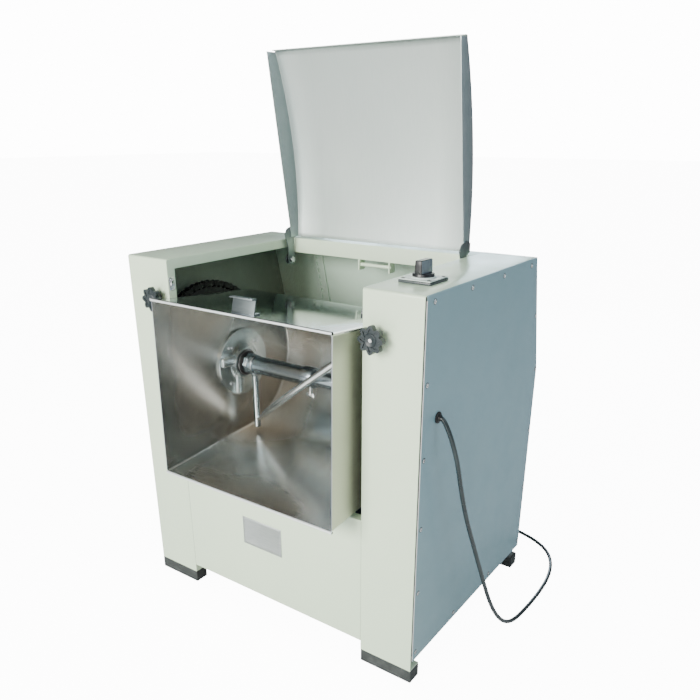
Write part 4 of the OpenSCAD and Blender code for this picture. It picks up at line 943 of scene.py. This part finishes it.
def loop_path(count):
    """Evenly spaced points around the two sprockets, with the direction at each."""
    (y0, z0, r0), (y1, z1, r1) = BIG, SMALL
    far = math.hypot(y1 - y0, z1 - z0)
    line = math.atan2(z1 - z0, y1 - y0)
    lean = math.acos((r0 - r1) / far)
    dense = [(y0 + r0 * math.cos(a), z0 + r0 * math.sin(a))
             for a in (line + lean + (2 * math.pi - 2 * lean) * k / 360 for k in range(361))]
    dense += [(y1 + r1 * math.cos(a), z1 + r1 * math.sin(a))
              for a in (line - lean + 2 * lean * k / 90 for k in range(91))]
    dense.append(dense[0])
    lengths = [0.0]
    for a, b in zip(dense, dense[1:]):
        lengths.append(lengths[-1] + math.dist(a, b))
    out, k = [], 0
    for n in range(count):
        target = lengths[-1] * n / count
        while lengths[k + 1] < target:
            k += 1
        t = (target - lengths[k]) / max(lengths[k + 1] - lengths[k], 1e-9)
        a, b = dense[k], dense[k + 1]
        out.append((a[0] + (b[0] - a[0]) * t, a[1] + (b[1] - a[1]) * t))
    return out


def link_plate(a, b, x, thick, r=6.6, waist=4.6):
    """A side plate of the chain between two pins, as corner points on its inner and outer face."""
    along = Vector((b[0] - a[0], b[1] - a[1]))
    long = along.length
    along.normalize()
    side = Vector((-along.y, along.x))
    slant = r * 0.7
    outline = [(-r, 0), (-slant, -slant), (0, -r), (long / 2, -waist), (long, -r), (long + slant, -slant),
               (long + r, 0), (long + slant, slant), (long, r), (long / 2, waist), (0, r), (-slant, slant)]
    points = [Vector(a) + along * p + side * q for p, q in outline]
    return [spot(x, p.x, p.y) for p in points], [spot(x + thick, p.x, p.y) for p in points]


def make_chain():
    """A roller chain: inner and outer side plates in turn, with a roller on every pin."""
    chain, mesh = blank("roller_chain")
    pins = loop_path(CHAIN_LINKS)
    for k, a in enumerate(pins):
        b = pins[(k + 1) % len(pins)]
        offset = 5.2 if k % 2 else 6.9
        for x in (CHAIN_X + offset - 0.75, CHAIN_X - offset - 0.75):
            prism(mesh, *link_plate(a, b, x, 1.5))
        for half, r in ((4.4, 5.0), (8.0, 2.5)):
            rim = [(a[0] + r * math.cos(angle), a[1] + r * math.sin(angle))
                   for angle in (2 * math.pi * i / 10 for i in range(10))]
            prism(mesh, *([spot(x, y, z) for y, z in rim] for x in (CHAIN_X - half, CHAIN_X + half)))
    fill(chain, mesh)
    face_out(chain)
    smooth(chain, 40)
    set_on(chain, "cabinet", CHAIN_STEEL, "black_steel", "drive_chain")


def make_drive():
    set_on_softened([
        ("large_sprocket", "agitator", 0.5, CHAIN_STEEL, "black_steel"),
        ("small_sprocket", "jackshaft", 0.5, CHAIN_STEEL, "black_steel"),
        ("large_pulley", "jackshaft", 0.6, MOTOR, "cast_housing"),
        ("small_pulley", "motor_rotor", 0.6, MOTOR, "cast_housing"),
        ("jackshaft", "jackshaft", 0.6, TURNED_STEEL, "turned_steel"),
        ("motor_shaft", "motor_rotor", 0.5, TURNED_STEEL, "turned_steel"),
        ("shaft_bearings", "cabinet", 0.9, HOUSING, "cast_housing"),
        ("jackshaft_bearings", "cabinet", 0.9, HOUSING, "cast_housing"),
        ("left_bearing_plate", "cabinet", 0.8, PRIMER, "frame_paint"),
        ("right_bearing_plate", "cabinet", 0.8, PRIMER, "frame_paint"),
        ("base_frame", "cabinet", 0.9, PRIMER, "frame_paint"),
        ("motor_body", "cabinet", 1.5, MOTOR, "motor_paint"),
        ("motor_mount", "cabinet", 0.6, PRIMER, "frame_paint"),
        ("motor_terminal_box", "cabinet", 1.6, MOTOR, "motor_paint"),
        ("v_belt", "cabinet", 0.5, SEAL_RUBBER, "black_rubber"),
        ("switch_body", "cabinet", 0.8, SWITCH_BLACK, "switch_black")], 2, 40)


# ------------------------------------------------------------------ cord
CORD_D, CORD_FLOOR = 8.5, -23.75
CORD_DROP = [
    (704, 56, 507), (709, 56, 505.6), (714.5, 56.5, 499.5), (720.5, 58, 486.5), (726, 61, 469.9),
    (730, 65, 451.7), (733, 71, 430.3), (734.5, 79, 404.4), (735.5, 93, 361.1), (737.3, 110, 313),
    (740, 128, 267.1), (744, 149, 217), (749, 170, 164), (754, 190, 114), (761, 208, 66), (769, 226, 28),
    (777, 247, 0), (783, 272, -17)]
CORD_ON_FLOOR = [
    (788, 302), (792, 340), (794, 384), (794, 430), (791, 476), (783, 520), (769, 560), (747, 594),
    (716, 620), (678, 638), (636, 649), (592, 656), (548, 661), (510, 663.5)]
COIL_AT, COIL_TOP = (506, 604), -14.85
PLUG_X, PLUG_Y, PLUG_Z = 380, 640.25, -9.8


def spline_through(points, count):
    """More points along a smooth curve through the given ones."""
    out = []
    for k in range(len(points) - 1):
        a, b = points[max(k - 1, 0)], points[k]
        c, d = points[k + 1], points[min(k + 2, len(points) - 1)]
        for i in range(count):
            t = i / count
            out.append(0.5 * (2 * b + (c - a) * t + (2 * a - 5 * b + 4 * c - d) * t * t
                              + (3 * b - a - 3 * c + d) * t ** 3))
    out.append(points[-1])
    return out


def eased(t):
    """A slow start and a slow end between 0 and 1."""
    return t * t * (3 - 2 * t)


def cord_points():
    """The cord from its exit down to the floor, round behind the cabinet, into its coil and to the plug."""
    route = [Vector(p) for p in CORD_DROP] + [Vector((*p, CORD_FLOOR)) for p in CORD_ON_FLOOR]
    outer, inner, turns = 59.75, 34.25, 3
    steps = 24 * turns
    coil = []
    for k in range(1, steps + 1):
        angle = math.radians(90) + 2 * math.pi * turns * k / steps
        r = outer + (inner - outer) * k / steps
        rise = eased(max(0.0, (k - steps + 12) / 12))
        coil.append(Vector((COIL_AT[0] + r * math.cos(angle), COIL_AT[1] + r * math.sin(angle),
                            CORD_FLOOR + rise * (COIL_TOP - CORD_FLOOR))))
    start, end = coil[-1], Vector((PLUG_X + 20, PLUG_Y, PLUG_Z))
    tail = []
    for k in range(1, 9):
        t = k / 8
        point = start.lerp(end, t)
        point.y = start.y + (end.y - start.y) * eased(t)
        tail.append(point)
    return spline_through(route + coil + tail, 3)


def make_cord():
    path = [(p - ORIGIN) * MM for p in cord_points()]
    cord = tube_along("mains_cord", path, CORD_D / 2, sides=4)
    plug = turned("cord_plug_body", "x", (PLUG_X - 42, PLUG_Y, PLUG_Z),
                  [(0, 0.01), (0, 17), (1, 18), (14, 18), (18, 16.2), (26, 16.2), (30, 17.4), (34, 16),
                   (42, 9.5), (44, 8), (60, 6.2), (62, 5.6), (62, 4.2), (40, 4.2), (40, 0.01)], 48)
    pins = [rod("plug_pin_%d" % k, "x", (PLUG_X - 61, PLUG_Y + s, PLUG_Z), 20, 2.4, sides=20)
            for k, s in enumerate((-9.5, 9.5))]
    for pin in pins:
        bevel(pin, 0.9, 2, 50)
    set_on(plug, "cabinet", SEAL_RUBBER, "black_rubber", "cord_plug")
    metal = smooth(joined("cord_plug_pins", *pins), 40)
    set_on(metal, "cabinet", BRIGHT_STEEL, "polished_steel", "cord_plug")
    set_on(cord, "cabinet", CORD_PVC, "cord_pvc", "power_cord", "cord_coil", "cord_tail")


# ------------------------------------------------------------------ studio
FLOOR_GLOW, AMBIENT, BACKDROP = 12.0, 0.24, 14.0
LAMPS = [  # name, place, aim, size, power, colour
    ("key_softbox", (-0.9, -4.5, 2.1), (0, -0.2, 0.5), (2.4, 2.4), 375, (1, 1, 0.96)),
    ("top_softbox", (1.8, 0.5, 2.3), (0.2, 0, 0.5), (1.8, 1.6), 17, (0.76, 0.93, 1.0)),
    ("right_softbox", (3.0, 0.6, 1.4), (0, 0, 0.4), (1.6, 1.8), 9, (0.80, 0.92, 1.0)),
    ("back_card", (-1.1, 2.6, 1.3), (0.25, 0.1, 0.7), (1.5, 1.2), 34, (0.7, 0.88, 1.0)),
    ("warm_strip", (0.5, -2.4, 1.3), (0, 0, 0.45), (2.4, 0.3), 13, (1.0, 0.76, 0.55)),
    ("cool_strip", (1.3, -2.7, 0.9), (0, 0, 0.4), (0.35, 1.6), 9, (0.74, 0.9, 1.0))]


def soft_light(name, at, aim, size, power, colour):
    data = bpy.data.lights.new(name, "AREA")
    data.shape = "RECTANGLE"
    data.size, data.size_y = size
    data.energy = power
    data.color = colour
    lamp = bpy.data.objects.new(name, data)
    lamp.location = at
    lamp.rotation_euler = (Vector(aim) - Vector(at)).to_track_quat("-Z", "Y").to_euler()
    bpy.context.scene.collection.objects.link(lamp)


def make_studio():
    clear()
    bpy.ops.mesh.primitive_plane_add(size=60, location=(0, 0, 0))
    floor = bpy.context.object
    floor.name = "studio_floor"
    pale = bpy.data.materials.new("studio_floor")
    pale.use_nodes = True
    shader = pale.node_tree.nodes["Principled BSDF"]
    shader.inputs["Base Color"].default_value = (0.8, 0.8, 0.8, 1)
    shader.inputs["Roughness"].default_value = 0.7
    path = add(pale.node_tree, "LightPath")
    glow = product(pale.node_tree, path.outputs["Is Camera Ray"], FLOOR_GLOW)
    shader.inputs["Emission Color"].default_value = (1, 1, 1, 1)
    pale.node_tree.links.new(glow, shader.inputs["Emission Strength"])
    floor.data.materials.append(pale)
    world = bpy.data.worlds.new("studio_world")
    bpy.context.scene.world = world
    world.use_nodes = True
    tree = world.node_tree
    dim = tree.nodes["Background"]
    dim.inputs["Color"].default_value = (0.88, 0.95, 1.0, 1)
    dim.inputs["Strength"].default_value = AMBIENT
    bright = add(tree, "Background", [("Color", (1, 1, 1, 1)), ("Strength", BACKDROP)])
    path = add(tree, "LightPath")
    both = add(tree, "MixShader", [(0, path.outputs["Is Camera Ray"]), (1, dim.outputs[0]),
                                   (2, bright.outputs[0])])
    tree.links.new(both.outputs[0], tree.nodes["World Output"].inputs["Surface"])
    for lamp in LAMPS:
        soft_light(*lamp)


make_camera()
make_cord()
make_cabinet()
make_panel_screws()
make_feet()
make_bowl()
make_lid()
make_knob("left_star_knob", KNOB_X, "left_knob")
make_knob("right_star_knob", WIDE - KNOB_X, "right_knob")
make_switch()
make_tool()
make_fittings()
make_chain()
make_drive()
make_studio()
